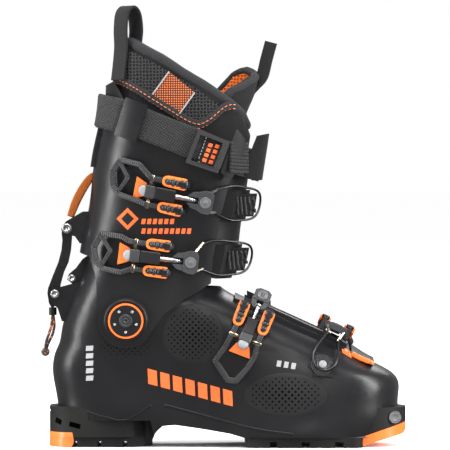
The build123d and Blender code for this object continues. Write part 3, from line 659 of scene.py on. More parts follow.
def lean_matrix(lean):
    """The barrel's lean about the latch's pivot."""
    centre = Vector((LATCH_PIVOT[0], 0, LATCH_PIVOT[1]))
    turn = Matrix.Rotation(math.radians(lean), 4, "Y")
    return Matrix.Translation(centre) @ turn @ Matrix.Translation(-centre)


def lever_height(u, drop):
    return table([(-44, 2.2 - 6.5 * drop), (-28, 5.2 - 2.8 * drop), (-14, 6.9), (-4, 8.9), (6, 5.8)], u)


def swayed(points, sway):
    """The lever's rear loop moved across its length, with its arms left on their pivots."""
    return [(u, v + sway * clamp((-3.0 - u) / 9.0)) for u, v in points]


def lever_frame(plan, drop, sway):
    """The angular loop of the lever, with moulded ribs across its top."""
    flat = polyline([Vector((u, v, 0)) for u, v in swayed(plan, sway)], LOOP_STEP)
    path = [Vector((p.x, p.y, lever_height(p.x, drop))) for p in flat]
    padded = [path[0]] + path + [path[-1]]
    smooth = [(a + b + c) / 3 for a, b, c in zip(padded, padded[1:], padded[2:])]

    def ribs(i, a, b):
        u = smooth[i].x
        if -38 < u < 3 and b > 0:
            b += 0.22 * math.sin(i * math.pi / 2.0)
        return a * (1.1 if u < -30 else 1.0), b

    return sweep(smooth, UP, rounded_box(2.2, 1.95, 0.6), shape=ribs)


def lever_grip(drop, sway):
    """The ribbed bar inside the loop's end, which the finger pulls."""
    ends = swayed([(-32.0, 15.0), (-22.6, 4.2), (-28.5, -8.6)], sway)
    path = polyline([Vector((u, v, lever_height(u, drop) + 0.6)) for u, v in ends], LOOP_STEP)

    def ribs(i, a, b):
        return a, b + 0.3 * math.sin(i * math.pi / 2.0) * (b > 0)

    return sweep(path, UP, rounded_box(1.7, 1.6, 0.5), shape=ribs)


def lever_loop(name):
    _, _, drop, _, sway = BUCKLES[name]
    if name == "instep":
        return lever_frame(INSTEP_LOOP, drop, sway)
    return merge(lever_frame(CUFF_LOOP, drop, sway), lever_grip(drop, sway))


def both_arms(build):
    """What one side arm has, on both sides of the buckle; build(side) gives a list of parts."""
    return merge(*(part for side in (-1, 1) for part in build(side)))


def lever_clips(side):
    plan = [Vector((u, side * v, 5.3 + 0.3 * math.sin(u / 9))) for u, v in CLIP_PLAN]
    return [sweep(catmull(plan, 0.9), UP, rounded_box(1.25, 2.35, 0.5))]


def lever_arms(side):
    """A side beam inside its clip, with toothed black caps over its end."""
    middle = side * ARM_OFFSET
    path = [Vector((u, middle, 5.6 - 0.02 * u)) for u in (5, 8.4, 14, 20, 25.4)]
    parts = [sweep(path, UP, rounded_box(2.1, 1.9, 0.5))]
    for low, high, half in ARM_TEETH:
        outline = [(low, middle - half), (high, middle - half * 0.9), (high, middle + half * 0.9),
                   (low, middle + half)]
        parts.append(prism(outline, 6.6, 8.9 - 0.02 * low))
    return parts


def lever_pins(side):
    """The domed heads of the two cross pins, each with a hexagonal socket."""
    flip = Matrix.Scale(side, 4, Vector((0, 1, 0)))
    pins = cross_pin(*LEVER_PIVOT, 6.9, 15.5, 1.9), cross_pin(*LATCH_PIVOT, 5.4, 14.3, 1.7)
    return [moved(pin, flip) for pin in pins]


def cross_pin(u, w, near, far, radius):
    profile = [(near, 0.0), (near, radius), (far - 0.45, radius), (far - 0.1, radius * 0.82),
               (far, radius * 0.6), (far - 0.3, radius * 0.5), (far - 0.5, 0.0)]
    return turning(profile, place=Matrix.Translation((u, 0, w)) @ Matrix.Rotation(math.pi / 2, 4, "Z"))


def clip_screws(side):
    """Two small steel screws in a clip's arm."""
    head = [(0.0, 0.0), (0.0, 1.25), (0.5, 1.25), (0.75, 0.9), (0.75, 0.55), (0.45, 0.5), (0.45, 0.0)]
    places = [(u, side * ARM_OFFSET, 6.6) for u in (12.5, 21.0)]
    return [turning(head, 16, Matrix.Translation(place) @ UPRIGHT) for place in places]


def barrel_dome():
    profile = [(6.2, 0.0), (6.2, 4.4), (9.6, 4.4), (10.6, 3.6), (11.0, 2.2), (11.0, 0.0)]
    return turning(profile, 32, Matrix.Translation((-7.2, 0, 0)) @ UPRIGHT)


def threaded_rod():
    profile = [(19, 0.0), (19, 2.0)]
    for k in range(ROD_THREADS):
        u = 19.4 + THREAD_PITCH * k
        profile += [(u, 2.3), (u + THREAD_PITCH / 2, 1.85)]
    profile += [(30.6, 2.3), (31.2, 2.35), (33.4, 2.35), (33.6, 1.9), (34.2, 1.9), (34.4, 2.2), (37.6, 0.5),
                (37.8, 0.0)]
    return turning(profile, 22, Matrix.Translation((0, 0, ROD_LEVEL)))


def yoke_body(half):
    rear = [(38.5, -7.9), (43, -half), (48.4, -half), (50.8, -half + 3.4), (50.8, half - 3.4), (48.4, half),
            (43, half), (38.5, 7.9)]
    jaw = [(29.5, 2.7), (29.5, 3.4), (33, 6.6), (38.5, 7.6), (38.5, 2.7)]
    jaws = [prism([(u, side * v) for u, v in jaw][::side], 5.8, 11.0) for side in (-1, 1)]
    return merge(prism(rear, 5.8, 11.4), *jaws)


def yoke_medal():
    """A rimmed disc with three raised bars across it."""
    profile = [(0.0, 0.0), (0.0, 4.7), (0.5, 4.7), (0.8, 4.3), (0.55, 3.4), (0.55, 2.9), (0.8, 2.6),
               (0.8, 0.0)]
    place, bar = Matrix.Translation(MEDAL_PLACE), [(-0.4, 0.7), (0.4, 0.7), (0.4, 1.0), (-0.4, 1.0)]
    bars = [moved(side_prism(bar, 1.7), place @ Matrix.Translation((k, 0, 0))) for k in (-1.2, 0, 1.2)]
    return merge(turning(profile, 32, place @ UPRIGHT), *bars)


def ferrules(name, matrix):
    """A sleeve on each end of the wire, along the way that the wire leaves the yoke."""
    wire = [vertex.co for vertex in NODES[name + "_cable"].data.vertices]
    back, lean, parts = matrix.inverted(), lean_matrix(BUCKLES[name][1]), []
    for v in (8.2, -8.2):
        start = matrix @ (lean @ Vector((47, v, ROD_LEVEL)))
        near = [p for p in wire if 0.006 < (p - start).length < 0.011 and (back @ p).y * v > 0]
        way = (sum(near, Vector()) / len(near) - start).normalized()
        path = [start + way * d * MM for d in (-1.5, 0, 3, 6, 9, 12, 13.2)]
        parts.append(sweep(path, Vector((0, 0.2, 1)), ring_section(1.35 * MM, 14)))
    return merge(*parts)


def add_buckle(name):
    body, lean, _, half, _ = BUCKLES[name]
    matrix = buckle_matrix(name)
    tilt = matrix @ lean_matrix(lean)
    barrel = side_prism([(2, 5.0), (19, 5.8), (19, 11.2), (2, 12.2)], 5.1)
    block = side_prism([(-6.4, 5.6), (1.9, 4.9), (1.9, 12.4), (-6.4, 11.4)], 5.2)
    plate = prism([(-16, -9.4), (-6.6, -5.4), (-6.6, 5.4), (-16, 9.4)], 1.9, 3.0)
    groups = [
        (name + "_lever_body", matrix, [
            ("_lever_loop", lever_loop(name), "lever_black", {"cad": [name + "_lever"]}),
            ("_lever_arms", both_arms(lever_arms), "lever_black", {}),
            ("_lever_clips", both_arms(lever_clips), "clip_orange", {}),
            ("_lever_pins", both_arms(lever_pins), "pin_brass", {}),
            ("_clip_screws", both_arms(clip_screws), "steel", {}),
        ]),
        (name + "_latch_body", tilt, [
            ("_barrel", barrel, "barrel_black", {"smooth": False, "cad": [name + "_latch"], "bevel": 0.0009}),
            ("_barrel_block", block, "latch_grey", {"smooth": False, "bevel": 0.0008}),
            ("_barrel_dome", barrel_dome(), "pale_grey", {}),
            ("_rod", threaded_rod(), "steel", {}),
            ("_yoke", yoke_body(half), "latch_grey", {"smooth": False, "bevel": 0.0008}),
            ("_yoke_medal", yoke_medal(), "medal_grey", {}),
        ]),
        (body, matrix, [("_link_plate", plate, "clip_orange", {"smooth": False, "bevel": 0.0005})]),
    ]
    for rides, place, pieces in groups:
        for piece, part, material, options in pieces:
            make_mesh(name + piece, moved(part, place), material, rides, **options)
    if name != "instep":
        make_mesh(name + "_ferrules", ferrules(name, matrix), "ferrule", name + "_latch_body")


def add_catch_teeth():
    """Cross ridges on the cuff's two catches, which the wires rest over."""
    for name in ("upper", "lower"):
        tree = surface_tree(name + "_catch")
        low, high = box_of(name + "_catch")
        front, middle, parts = high.x / MM, (low.z + high.z) / 2 / MM, []
        for k in range(5):
            x = front - 3.0 - 3.4 * k
            line = along_side(tree, [(x + 0.7, middle - 7.5), (x, middle), (x - 0.7, middle + 7.5)], lift=0.5)
            if len(line) > 4:
                parts.append(tape(line, rounded_box(0.0009, 0.0011, 0.0005)))
        make_mesh(name + "_catch_teeth", merge(*parts), "lever_black", "cuff", "shell_black")


# ---------------------------------------------------------------- liner
LINER_CENTRE = Vector((-0.038, MID_Y, 0))
ROLL_HEIGHT, ROLL_STEPS = 0.0045, 8  # of a padded wall's rounded top edge
FALLBACK_REACH = (0.05, 0.044)  # distances of a wall's two faces where the solid has none
THINNEST_WALL, PLAIN_WALL = 0.002, 0.006
COLLAR_COLUMNS, COLLAR_LEVELS = 168, (0.176, 0.345)
TONGUE_COLUMNS, TONGUE_LEVELS, TONGUE_LOWEST_TOP = 90, (0.180, 0.320), 0.215
COLLAR_SEAM = [(-94, 306), (-80, 300), (-55, 284), (-30, 269), (-18, 270), (-3, 282), (6, 284)]
MESH_PANEL_TOP = [(-92, 330), (-83, 330), (-56.6, 316), (-23, 295), (10, 270.5), (16, 262)]
LABEL_CORNERS = [(-61.6, 292), (-39.9, 276.1), (-27.4, 293.7), (-48.2, 311)]


def polar(angle, distance, z):
    """A place from its angle and distance about the liner's axis."""
    return LINER_CENTRE + Vector((distance * math.cos(angle), distance * math.sin(angle), z))


def radial(tree, angle, z, outward=False):
    """Distance from the liner's axis to a surface, from outside inward or from the axis outward."""
    way = Vector((math.cos(angle), math.sin(angle), 0))
    centre = Vector((LINER_CENTRE.x, LINER_CENTRE.y, z))
    if outward:
        hit = tree.ray_cast(centre, way)[0]
    else:
        hit = tree.ray_cast(centre + way * 0.3, -way, 0.3)[0]
    return None if hit is None else (hit - centre).length


def top_of(tree, angle, low, high):
    """The highest level at which a surface is met at this angle."""
    if radial(tree, angle, low) is None:
        return None
    for _ in range(22):
        middle = (low + high) / 2
        if radial(tree, angle, middle) is None:
            high = middle
        else:
            low = middle
    return low


def wall_column(tree, angle, low, top, rows, puff):
    """Up the outer wall, over the rolled edge and down the inner wall, as (distance, level); and the rim."""
    outer, inner = [], []
    for k in range(rows):
        t = k / (rows - 1)
        z = low + (top - ROLL_HEIGHT - low) * t
        far, near = radial(tree, angle, z), radial(tree, angle, z, True)
        if far is None:
            far, near = FALLBACK_REACH
        if near is None or near > far - THINNEST_WALL:
            near = far - PLAIN_WALL
        outer.append((far - 0.0004 + puff(angle, t), z))
        inner.append((near + 0.0003, z))
    (far, z), (near, _) = outer[-1], inner[-1]
    middle, half = (far + near) / 2, (far - near) / 2
    turns = [math.pi * k / ROLL_STEPS for k in range(1, ROLL_STEPS)]
    roll = [(middle + half * math.cos(turn), z + 0.0042 * math.sin(turn)) for turn in turns]
    return outer + roll + inner[::-1], polar(angle, middle, z + 0.0005)


def padded_shell(tree, angles, low, high, rows, drop=lambda angle: 0.0, puff=lambda angle, t: 0.0,
                 closed=True):
    """The walls and rolled top edge of a padded collar, read from its CAD solid, and its rim."""
    verts, rim = [], []
    for angle in angles:
        top = top_of(tree, angle, low, high)
        top = (low if top is None else top) - drop(angle)
        column, edge = wall_column(tree, angle, low, top, rows, puff)
        rim.append(edge)
        verts += [polar(angle, distance, z) for distance, z in column]
    faces = skin(len(angles), len(column), closed)
    return (verts, faces if closed else faces + caps(len(angles), len(column))), rim


def wrinkle(point, size, seed=0.0):
    """A smooth wave, for cloth that isn't perfectly even."""
    x, y, z = (point / size)[:]
    turns = 2.1 * x + 1.3 * z + seed, 1.7 * y - 2.3 * z + 2 * seed, 2.9 * z + 1.1 * x
    return sum(math.sin(turn) for turn in turns) / len(turns)


def binding(name, rim, width, height, closed):
    """A folded edge binding that sits over a rim."""
    path = [p + Vector((0, 0, 0.0006 * wrinkle(p, 0.012))) for p in rim]

    def fold(i, a, b):
        swell = 1 + 0.05 * wrinkle(path[i], 0.006, 1.0)
        return a * swell, b * swell

    ups = [(p - Vector((LINER_CENTRE.x, LINER_CENTRE.y, p.z))).normalized() for p in path]
    section = rounded_box(width, height, min(width, height) * 0.95, 5)
    make_mesh(name, sweep(path, ups, section, closed, fold), "binding", "cuff")


def stitches(name, line, pitch=0.0036, length=0.0024, radius=0.00032, material="thread"):
    """Short raised stitches along a line of (place, normal) pairs on the cuff."""
    parts, travelled, last = [], 0.0, None
    for place, normal in line:
        if last is not None:
            travelled += (place - last).length
        if last is None or travelled >= pitch:
            travelled = 0.0
            way = (place - last).normalized() if last is not None else Vector((1, 0, 0))
            path = [place + way * length * t + normal * (0.0001 + 0.00035 * math.sin(math.pi * t))
                    for t in (0, 0.25, 0.5, 0.75, 1)]
            parts.append(sweep(path, normal, ring_section(radius, 6)))
        last = place
    make_mesh(name, merge(*parts), material, "cuff")


def add_liner():
    angles = [2 * math.pi * k / COLLAR_COLUMNS for k in range(COLLAR_COLUMNS)]

    def puff(angle, t):
        return 0.0006 * math.sin(math.pi * min(1, t * 1.1)) + 0.00035 * math.sin(9 * angle + 7 * t)

    tree = surface_tree("liner_collar")
    walls, rim = padded_shell(tree, angles, *COLLAR_LEVELS, 44, puff=puff)
    collar = make_mesh("collar", walls, "liner_fabric", "cuff", cad=["liner_collar"])
    binding("collar_binding", [p + Vector((0, 0, 0.0002)) for p in rim], 0.0042, 0.0046, True)
    for side, label in SIDE_NAMES.items():
        panel = patch(tree, COLLAR_SEAM, MESH_PANEL_TOP, (-90, 1), side, 0.9, (70, 18))
        make_mesh("mesh_panel_" + label, panel, "spacer_mesh", "cuff")
        seam = along_side(tree, COLLAR_SEAM, side, 1.1)
        make_mesh("seam_tape_" + label, tape(seam, rounded_box(0.0034, 0.0006, 0.0005)), "binding", "cuff")
        stitches("seam_stitch_" + label, [(place + normal * 0.0006, normal) for place, normal in seam])
        below = [(x, z - 3.4) for x, z in COLLAR_SEAM]
        stitches("low_stitch_" + label, along_side(tree, below, side, 1.0))
    add_collar_label(tree)


def add_collar_label(tree):
    make_mesh("woven_label", quad(tree, LABEL_CORNERS, 1.6, (20, 20)), "label_weave", "cuff")
    a, b, c, d = LABEL_CORNERS
    section = rounded_box(0.0006, 0.0004, 0.0003)
    edges = [tape(along_side(tree, ends, lift=1.9), section) for ends in ([a, d], [b, c])]
    make_mesh("label_edges", merge(*edges), "pale_thread", "cuff", "liner_fabric")


def add_tongue():
    """The padded tongue, flared forward at its top, with orange mesh inside."""
    tree = surface_tree("liner_tongue")
    angles = [math.radians(-72 + 144 * k / (TONGUE_COLUMNS - 1)) for k in range(TONGUE_COLUMNS)]
    angles = [angle for angle in angles if (top_of(tree, angle, *TONGUE_LEVELS) or 0.0) > TONGUE_LOWEST_TOP]

    def drop(angle):
        return 0.013 * clamp(0.5 - angle / math.radians(70))

    def flare(p):
        rise = clamp((p.z - 0.266) / 0.034)
        rise *= rise * (3 - 2 * rise)
        return p + Vector((0.0095 * rise, 0, 0.0035 * rise))

    (verts, faces), rim = padded_shell(tree, angles, *TONGUE_LEVELS, 30, drop=drop, closed=False)
    walls = [flare(v) for v in verts], faces
    tongue = make_mesh("tongue", walls, "tongue_fabric", "cuff", cad=["liner_tongue"])
    tongue.data.materials.append(MATERIALS["orange_mesh"])
    for face in tongue.data.polygons:
        out = face.center - LINER_CENTRE
        inward = face.normal.x * out.x + face.normal.y * out.y < -0.35 * math.hypot(out.x, out.y)
        if inward and abs(face.normal.z) < 0.45 and face.center.z > 0.270:
            face.material_index = 1
    binding("tongue_binding", [flare(p) for p in rim if p.z > 0.264], 0.0030, 0.0036, False)


# ---------------------------------------------------------------- webbing
PULL_CENTRE, PULL_TURN = (-82.6, -24.4), math.radians(28)
PULL_PROFILE = [(-9.6, 304), (-7.8, 318), (-6.6, 332), (-7.0, 346), (-5.4, 359.6), (0, 365), (5.4, 359.6),
                (7.4, 346), (6.2, 332), (6.8, 318)]
TAB_PROFILE = [(17.0, 290.5), (23.5, 300), (28.8, 307.8), (32.2, 321.2), (36.2, 336)]
LEVER_STRAP = [(-110.4, 225.2), (-114.6, 222.8), (-120.6, 214.4), (-126.0, 204.4), (-129.6, 195.4),
               (-131.4, 190.4)]
FREE_STRAND = [(-110.6, 226.0), (-112.0, 218.0), (-113.0, 208.0), (-114.8, 198.6)]
STRAP_TOP = [(-125, 296.4), (-88.3, 288.4), (-68.3, 280.9), (-23.2, 263.5), (14, 247.9), (46, 241.4)]
STRAP_LOW = [(-125, 269.1), (-79.2, 257.5), (-31.5, 238.8), (6, 227.1), (36, 216.6)]
STRAP_COLUMNS, STRAP_ROWS = 220, 14


def middle_path(points, step):
    """A smooth path in the boot's middle plane through (x, z) millimetres."""
    return catmull([Vector((x * MM, MID_Y, z * MM)) for x, z in points], step)


def band_section(half_width, half_thickness, corner, steps=4):
    return rounded_box(half_width * MM, half_thickness * MM, corner * MM, steps)


def across(path, i):
    """The way along a strap at one of its points."""
    return (path[min(i + 1, len(path) - 1)] - path[max(i - 1, 0)]).normalized()


def add_pull_loop():
    """A loop of webbing: sewn flat on the collar outside, over the top and down inside."""
    way = Vector((math.cos(PULL_TURN), math.sin(PULL_TURN), 0))
    centre = Vector((PULL_CENTRE[0] * MM, PULL_CENTRE[1] * MM + MID_Y, 0))
    path = catmull([centre + way * s * MM + Vector((0, 0, z * MM)) for s, z in PULL_PROFILE], 0.0012)
    ups = [UP.cross(way).cross(across(path, i)) for i in range(len(path))]
    loop = sweep(path, ups, band_section(11.6, 0.9, 0.5))
    make_mesh("rear_pull_loop", loop, "webbing_fine", "cuff", cad=["pull_loop"])


def add_pull_tab():
    """A folded tab of webbing sewn to the tongue's front and turned toward the outer side."""
    path, ups, sideways = middle_path(TAB_PROFILE, 0.0012), [], Vector((0, 1, 0))
    for i in range(len(path)):
        turn = math.radians(70) * min(1.0, i / (0.45 * len(path))) ** 0.8
        ups.append(sideways.cross(across(path, i)) * math.cos(turn) + sideways * math.sin(turn))
    tab = sweep(path, ups, band_section(5.3, 1.5, 0.9))
    make_mesh("front_pull_tab", tab, "webbing_fine", "cuff", cad=["pull_tab"])


def add_lever_strap():
    """The webbing that draws the lock lever: a band from the cuff to its head, with a free strand."""
    path = middle_path(LEVER_STRAP, 0.0015)

    def taper(i, a, b):
        t = i / (len(path) - 1)
        return a, b * (1.0 + 0.35 * math.sin(math.pi * t) + 0.02 * math.sin(9 * t))

    loop = sweep(path, Vector((0.2, 0, 1)), band_section(6.0, 2.7, 1.4), shape=taper)
    make_mesh("lever_loop", loop, "webbing_orange", "cuff", cad=["lever_strap"])
    strand = sweep(middle_path(FREE_STRAND, 0.0015), Vector((1, 0, 0)), band_section(5.4, 0.8, 0.5, 3))
    make_mesh("lever_loop_strand", strand, "webbing_orange", "cuff")


def add_webbing():
    add_pull_loop()
    add_pull_tab()
    add_lever_strap()


def add_power_strap():
    """The wide strap round the cuff's top, laid on its CAD solid between its two edge curves."""
    tree, verts = surface_tree("power_strap"), []
    for i in range(STRAP_COLUMNS):
        angle = 2 * math.pi * i / STRAP_COLUMNS
        way, reach = Vector((math.cos(angle), math.sin(angle), 0)), 0.06
        for _ in range(4):
            x = (LINER_CENTRE.x + reach * math.cos(angle)) / MM
            low, high = table(STRAP_LOW, x), table(STRAP_TOP, x)
            reach = radial(tree, angle, (low + high) / 2 * MM) or reach
        column = []
        for k in range(STRAP_ROWS + 1):
            z = (low + (high - low) * k / STRAP_ROWS) * MM
            column.append(polar(angle, radial(tree, angle, z) or reach, z))
        outer, inner = ([p - way * depth for p in column] for depth in (0.0001, 0.0021))
        outer[0] -= way * 0.0006
        outer[-1] -= way * 0.0006
        verts += outer + inner[::-1]
    band = verts, skin(STRAP_COLUMNS, 2 * (STRAP_ROWS + 1))
    make_mesh("power_strap_band", band, "webbing", "cuff", cad=["power_strap"])


def add_strap_details():
    """The strap's label with its stitches and marks, the webbing beyond it and the elastic winding."""
    tree = surface_tree("power_strap", "strap_keeper", "strap_buckle", "strap_hook", "strap_front_block")
    label = [(-25.6, 236.2), (-14.0, 232.0), (-6.4, 252.6), (-18.4, 257.4)]
    make_mesh("strap_label", quad(tree, label, 0.5, (14, 20)), "label_black", "cuff")
    beyond = [(-13.6, 231.8), (-6.0, 229.0), (2.0, 249.4), (-6.0, 252.4)]
    make_mesh("strap_ribbed_end", quad(tree, beyond, 0.35, (12, 20)), "rib_webbing", "cuff")
    seam = along_side(tree, [(-25.0, 236.6), (-17.8, 256.8)], lift=0.75, step=0.4)
    stitches("label_stitch", seam, 0.0026, 0.0016, 0.00034, "pale_thread")
    for k, (x, z, tall) in enumerate([(-21.6, 237.0, 17.5), (-16.4, 235.2, 18.5)]):
        a, b, lean, rise = (x, z), (x + 3.2, z - 1.1), 0.37 * tall, 0.93 * tall
        c, d = (b[0] + lean, b[1] + rise), (a[0] + lean, a[1] + rise)
        for row in range(4):
            low, high = row / 4 + 0.02, (row + 1) / 4 - 0.06
            mark = [lerp2(a, d, low), lerp2(b, c, low), lerp2(b, c, high), lerp2(a, d, high)]
            add_print("strap_mark_%d_%d" % (k, row), tree, mark, "cuff", lift=0.75, steps=(3, 4))
    add_elastic(tree)


def add_elastic(tree):
    """Turns of elastic cord between the hook and the front block."""
    def level(x):
        places = [from_side(tree, x, z)[0] or Vector((0, MID_Y, 0)) for z in (232, 238, 244, 250)]
        return min(place.y for place in places)

    near, far, parts = level(4.0), level(15.0), []
    # x, y, lean and share of the way
    route = [(2.0, near, 0.5, 0.0), (6.0, near * 0.7 + far * 0.3, 0.2, 0.3),
             (11.0, near * 0.35 + far * 0.65, -0.2, 0.7), (16.5, far, -0.6, 1.0)]
    for k in range(9):
        z, path = 229.0 + k * 2.85, []
        for x, y, lean, t in route:
            sag = 0.4 * math.sin(math.pi * t)
            path.append(Vector((x * MM, y - (1.1 + sag) * MM, (z + lean - sag) * MM)))
        parts.append(sweep(catmull(path, 0.0012), UP, ring_section(0.00138, 12)))
    make_mesh("elastic_winding", merge(*parts), "elastic", "cuff")


# ---------------------------------------------------------------- cord
CORD_DIAMETER, CORD_LENGTH = 0.0023, 0.034
STRANDS = {
    "release_cord_outer": [(-146.5, -1.5, 110.6), (-146.6, -1.5, 106), (-147.2, -1.8, 99), (-150, -1.8, 91),
                           (-152.4, -1.5, 84), (-152.5, -1.0, 78)],
    "release_cord_inner": [(-146.1, 1.5, 110.6), (-145.6, 1.5, 106), (-144.7, 1.9, 99), (-146.6, 1.9, 91),
                           (-150.6, 1.5, 84), (-152.0, 1.0, 78)],
}


def add_release_cord():
    """Two strands of one loop of cord, from the bead under the lock lever down to their knot."""
    for name, route in STRANDS.items():
        data = bpy.data.curves.new(name, "CURVE")
        data.dimensions = "3D"
        spline = data.splines.new("NURBS")
        spline.points.add(len(route) - 1)
        for point, (x, y, z) in zip(spline.points, route):
            point.co = (x * MM, y * MM + MID_Y, z * MM, 1)
        spline.order_u = 3
        spline.use_endpoint_u = True
        data.bevel_depth = CORD_DIAMETER / 2
        data.bevel_resolution = 4
        data.materials.append(MATERIALS["cord"])
        strand = bpy.data.objects.new(name, data)
        bpy.context.scene.collection.objects.link(strand)
        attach(strand, "lock_lever")
        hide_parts("release_cord")


# ---------------------------------------------------------------- shell and cuff details
DIMPLE_PROFILE = [(0.0, 0.03), (0.55, 0.05), (0.85, 0.10), (1.1, 0.14), (1.35, 0.02)]  # radius, height
DIMPLE_SIDES = 12
PAD_RINGS = [0.2, 0.4, 0.6, 0.75, 0.86, 0.94, 1.0, 1.03]
PADS = {  # centre, radii of the pad, radii of its dimples, their pitch and size
    "instep": ((-29, 94), (25, 24), (22, 21), 5.0, 0.75),
    "toe": ((47.8, 43.9), (33, 17.5), (30, 15), 5.4, 0.8),
}
PRINT_STEPS = (8, 14)  # quads across and up a printed mark
# Corners of the printed marks, from each mark's place.
HEEL_MARK = [(0, 0), (6, 0.4), (6.4, 4.6), (0.4, 4.2)]
SIDE_BAR = [(0.6, -12.6), (8.2, -14.6), (7.6, -2.0), (0, 0)]
SMALL_BAR = [(0, -5), (3.6, -5.4), (4.6, -0.6), (1, 0)]
CUFF_BAR = [(0, -2.4), (3.2, -2.4), (4.0, 2.0), (0.8, 2.0)]
TOE_TRIM_EDGE = [(96.5, 80.0), (104, 76.4), (112, 72.4), (121, 69.4)]
SOLE_LINES = {
    "shell_sole_line": ([(-119, 30), (-104, 25.4), (-84, 22.6), (-64, 35)], 0.9),
    "shell_mid_line": ([(-52, 35), (-27, 28.4), (10, 18.6), (32, 14.2), (54, 11.5)], 1.0),
}
FAIRING_X, FAIRING_PROFILE = -69, [(-69, 1.6), (-64.6, 1.9), (-62.4, 5.6), (-60.2, 10.4), (-57.4, 14.4),
                                   (-53.2, 17.4), (-47.5, 19.0), (-47.5, 22), (-69, 22)]


def dots(name, tree, centre, radii, pitch=5.0, size=0.75):
    """Staggered round dimples over an oval: a dish in a thin raised rim, painted near-black and nearly
    without reflection as painted shade in the hollow.
    """
    flat, dish_faces = disc_grid(DIMPLE_SIDES, [radius for radius, _ in DIMPLE_PROFILE[1:]])
    heights = [DIMPLE_PROFILE[0][1]]
    for _, height in DIMPLE_PROFILE[1:]:
        heights += [height] * DIMPLE_SIDES
    rows, parts = int(radii[1] / (pitch * 0.5)) + 1, []
    for row in range(-rows, rows + 1):
        z = row * pitch * 0.5
        for col in range(-20, 21):
            x = col * pitch + (pitch / 2 if row % 2 else 0)
            reach = math.hypot(x / radii[0], z / radii[1])
            point, normal = from_side(tree, centre[0] + x, centre[1] + z)
            if reach > 1 or point is None:
                continue
            scale = size * (1.15 - 0.55 * reach) * MM
            first = normal.orthogonal().normalized()
            second = normal.cross(first)
            dish = [point + (first * a + second * b) * scale + normal * height * MM
                    for (a, b), height in zip(flat, heights)]
            parts.append((dish, dish_faces))
    make_mesh(name, merge(*parts), "dimple_painted_shade", "shell")


def pad(name, tree, centre, radii, lift=0.35):
    """The smooth oval field that the dimples sit in; gives its surface."""
    flat, faces = disc_grid(72, PAD_RINGS)
    verts = []
    for a, b in flat:
        rise = lift * clamp((PAD_RINGS[-1] - math.hypot(a, b)) / 0.06) + 0.02
        verts.append(from_side(tree, centre[0] + a * radii[0], centre[1] + b * radii[1], lift=rise)[0])
    make_mesh(name, (verts, faces), "pad_black", "shell")
    return BVHTree.FromPolygons(verts, faces)


def line_on(name, tree, points, radius, sink=0.25, material="shell_black"):
    """A moulded line on the shell: a thin rounded bead half sunk in the surface."""
    section = rounded_box(radius * MM, radius * 0.5 * MM + sink * MM, radius * MM * 0.45)
    bead = tape(along_side(tree, points, lift=-sink, step=1.2), section)
    make_mesh(name, bead, material, "shell", "shell_black")


def add_print(name, tree, corners, body, material="print_orange", lift=0.12, steps=PRINT_STEPS):
    make_mesh(name, quad(tree, corners, lift, steps), material, body, "orange_plastic")


def add_row(name, tree, shape, places, body, material="print_orange", steps=PRINT_STEPS):
    """A row of like prints; `shape` gives their corners from each place."""
    for k, (x, z) in enumerate(places):
        corners = [(x + across, z + up) for across, up in shape]
        add_print("%s_%d" % (name, k), tree, corners, body, material, steps=steps)


def add_shell_details():
    shell = surface_tree("lower_shell")
    for name, (centre, pad_radii, dot_radii, pitch, size) in PADS.items():
        field = pad(name + "_pad", shell, centre, pad_radii)
        dots(name + "_dots", field, centre, dot_radii, pitch, size)
    add_arch_fairing()
    trim = surface_tree("lower_shell", "toe_trim", "toe_trim_accent")
    line_on("toe_trim_edge", trim, TOE_TRIM_EDGE, 2.1, 0.3, "orange_plastic")
    add_toe_spool()
    heel_places = [(-117.6, 55.0 + 6.2 * k) for k in range(5)]
    add_row("heel_mark", shell, HEEL_MARK, heel_places, "shell", "print_grey", (3, 3))
    dots("ankle_dots", shell, (-84.2, 84.8), (20, 10), 5.0, 0.55)
    side_places = [(-66.4 + k * 10.4, 65.4 - k * 2.75) for k in range(7)]
    add_row("side_bar", shell, SIDE_BAR, side_places, "shell")
    add_row("small_bar", shell, SMALL_BAR, [(40, 72.5), (46, 71.6), (52, 70.6)], "shell", "print_grey")
    for name, (points, radius) in SOLE_LINES.items():
        line_on(name, shell, points, radius)


def add_arch_fairing():
    """The curved web of rubber where the heel's tread runs up into the arch."""
    tree = surface_tree("heel_tread", "heel_block")
    outer, inner = (from_side(tree, FAIRING_X, 8, side)[0].y / MM - side * 0.5 for side in (OUTER, INNER))
    verts, faces = prism(FAIRING_PROFILE, -inner, -outer)
    verts = [Vector((v.x, -v.z, v.y)) * MM for v in verts]
    make_mesh("arch_fairing", (verts, faces), "rubber_black", "shell", smooth=False, bevel=0.001)


def add_toe_spool():
    """The grooved spool that the toe buckle's wire runs round, with its pale cap."""
    low, high = box_of("toe_catch")
    middle = (low + high) / 2 / MM
    point, normal = from_side(surface_tree("toe_catch", "lower_shell"), middle.x, middle.z)
    turn = Vector((1, 0, 0)).rotation_difference(normal).to_matrix().to_4x4()
    place = Matrix.Translation(point) @ turn @ Matrix.Scale(MM, 4)
    grooves = [(-1.0, 0.0), (-1.0, 9.4)]
    for k in range(4):
        rise, inset = 0.7 * k, 1.35 * k
        grooves += [(0.6 + rise, 9.4 - inset), (1.5 + rise, 9.0 - inset), (0.8 + rise, 8.5 - inset)]
    grooves += [(2.9, 3.8), (2.9, 0.0)]
    make_mesh("toe_spool", turning(grooves, 40, place), "lever_black", "shell", "shell_black")
    cap = [(2.6, 0.0), (2.6, 3.4), (3.4, 3.3), (4.1, 2.5), (4.4, 1.2), (4.4, 0.0)]
    make_mesh("toe_spool_cap", turning(cap, 28, place), "pale_grey", "shell", "steel")


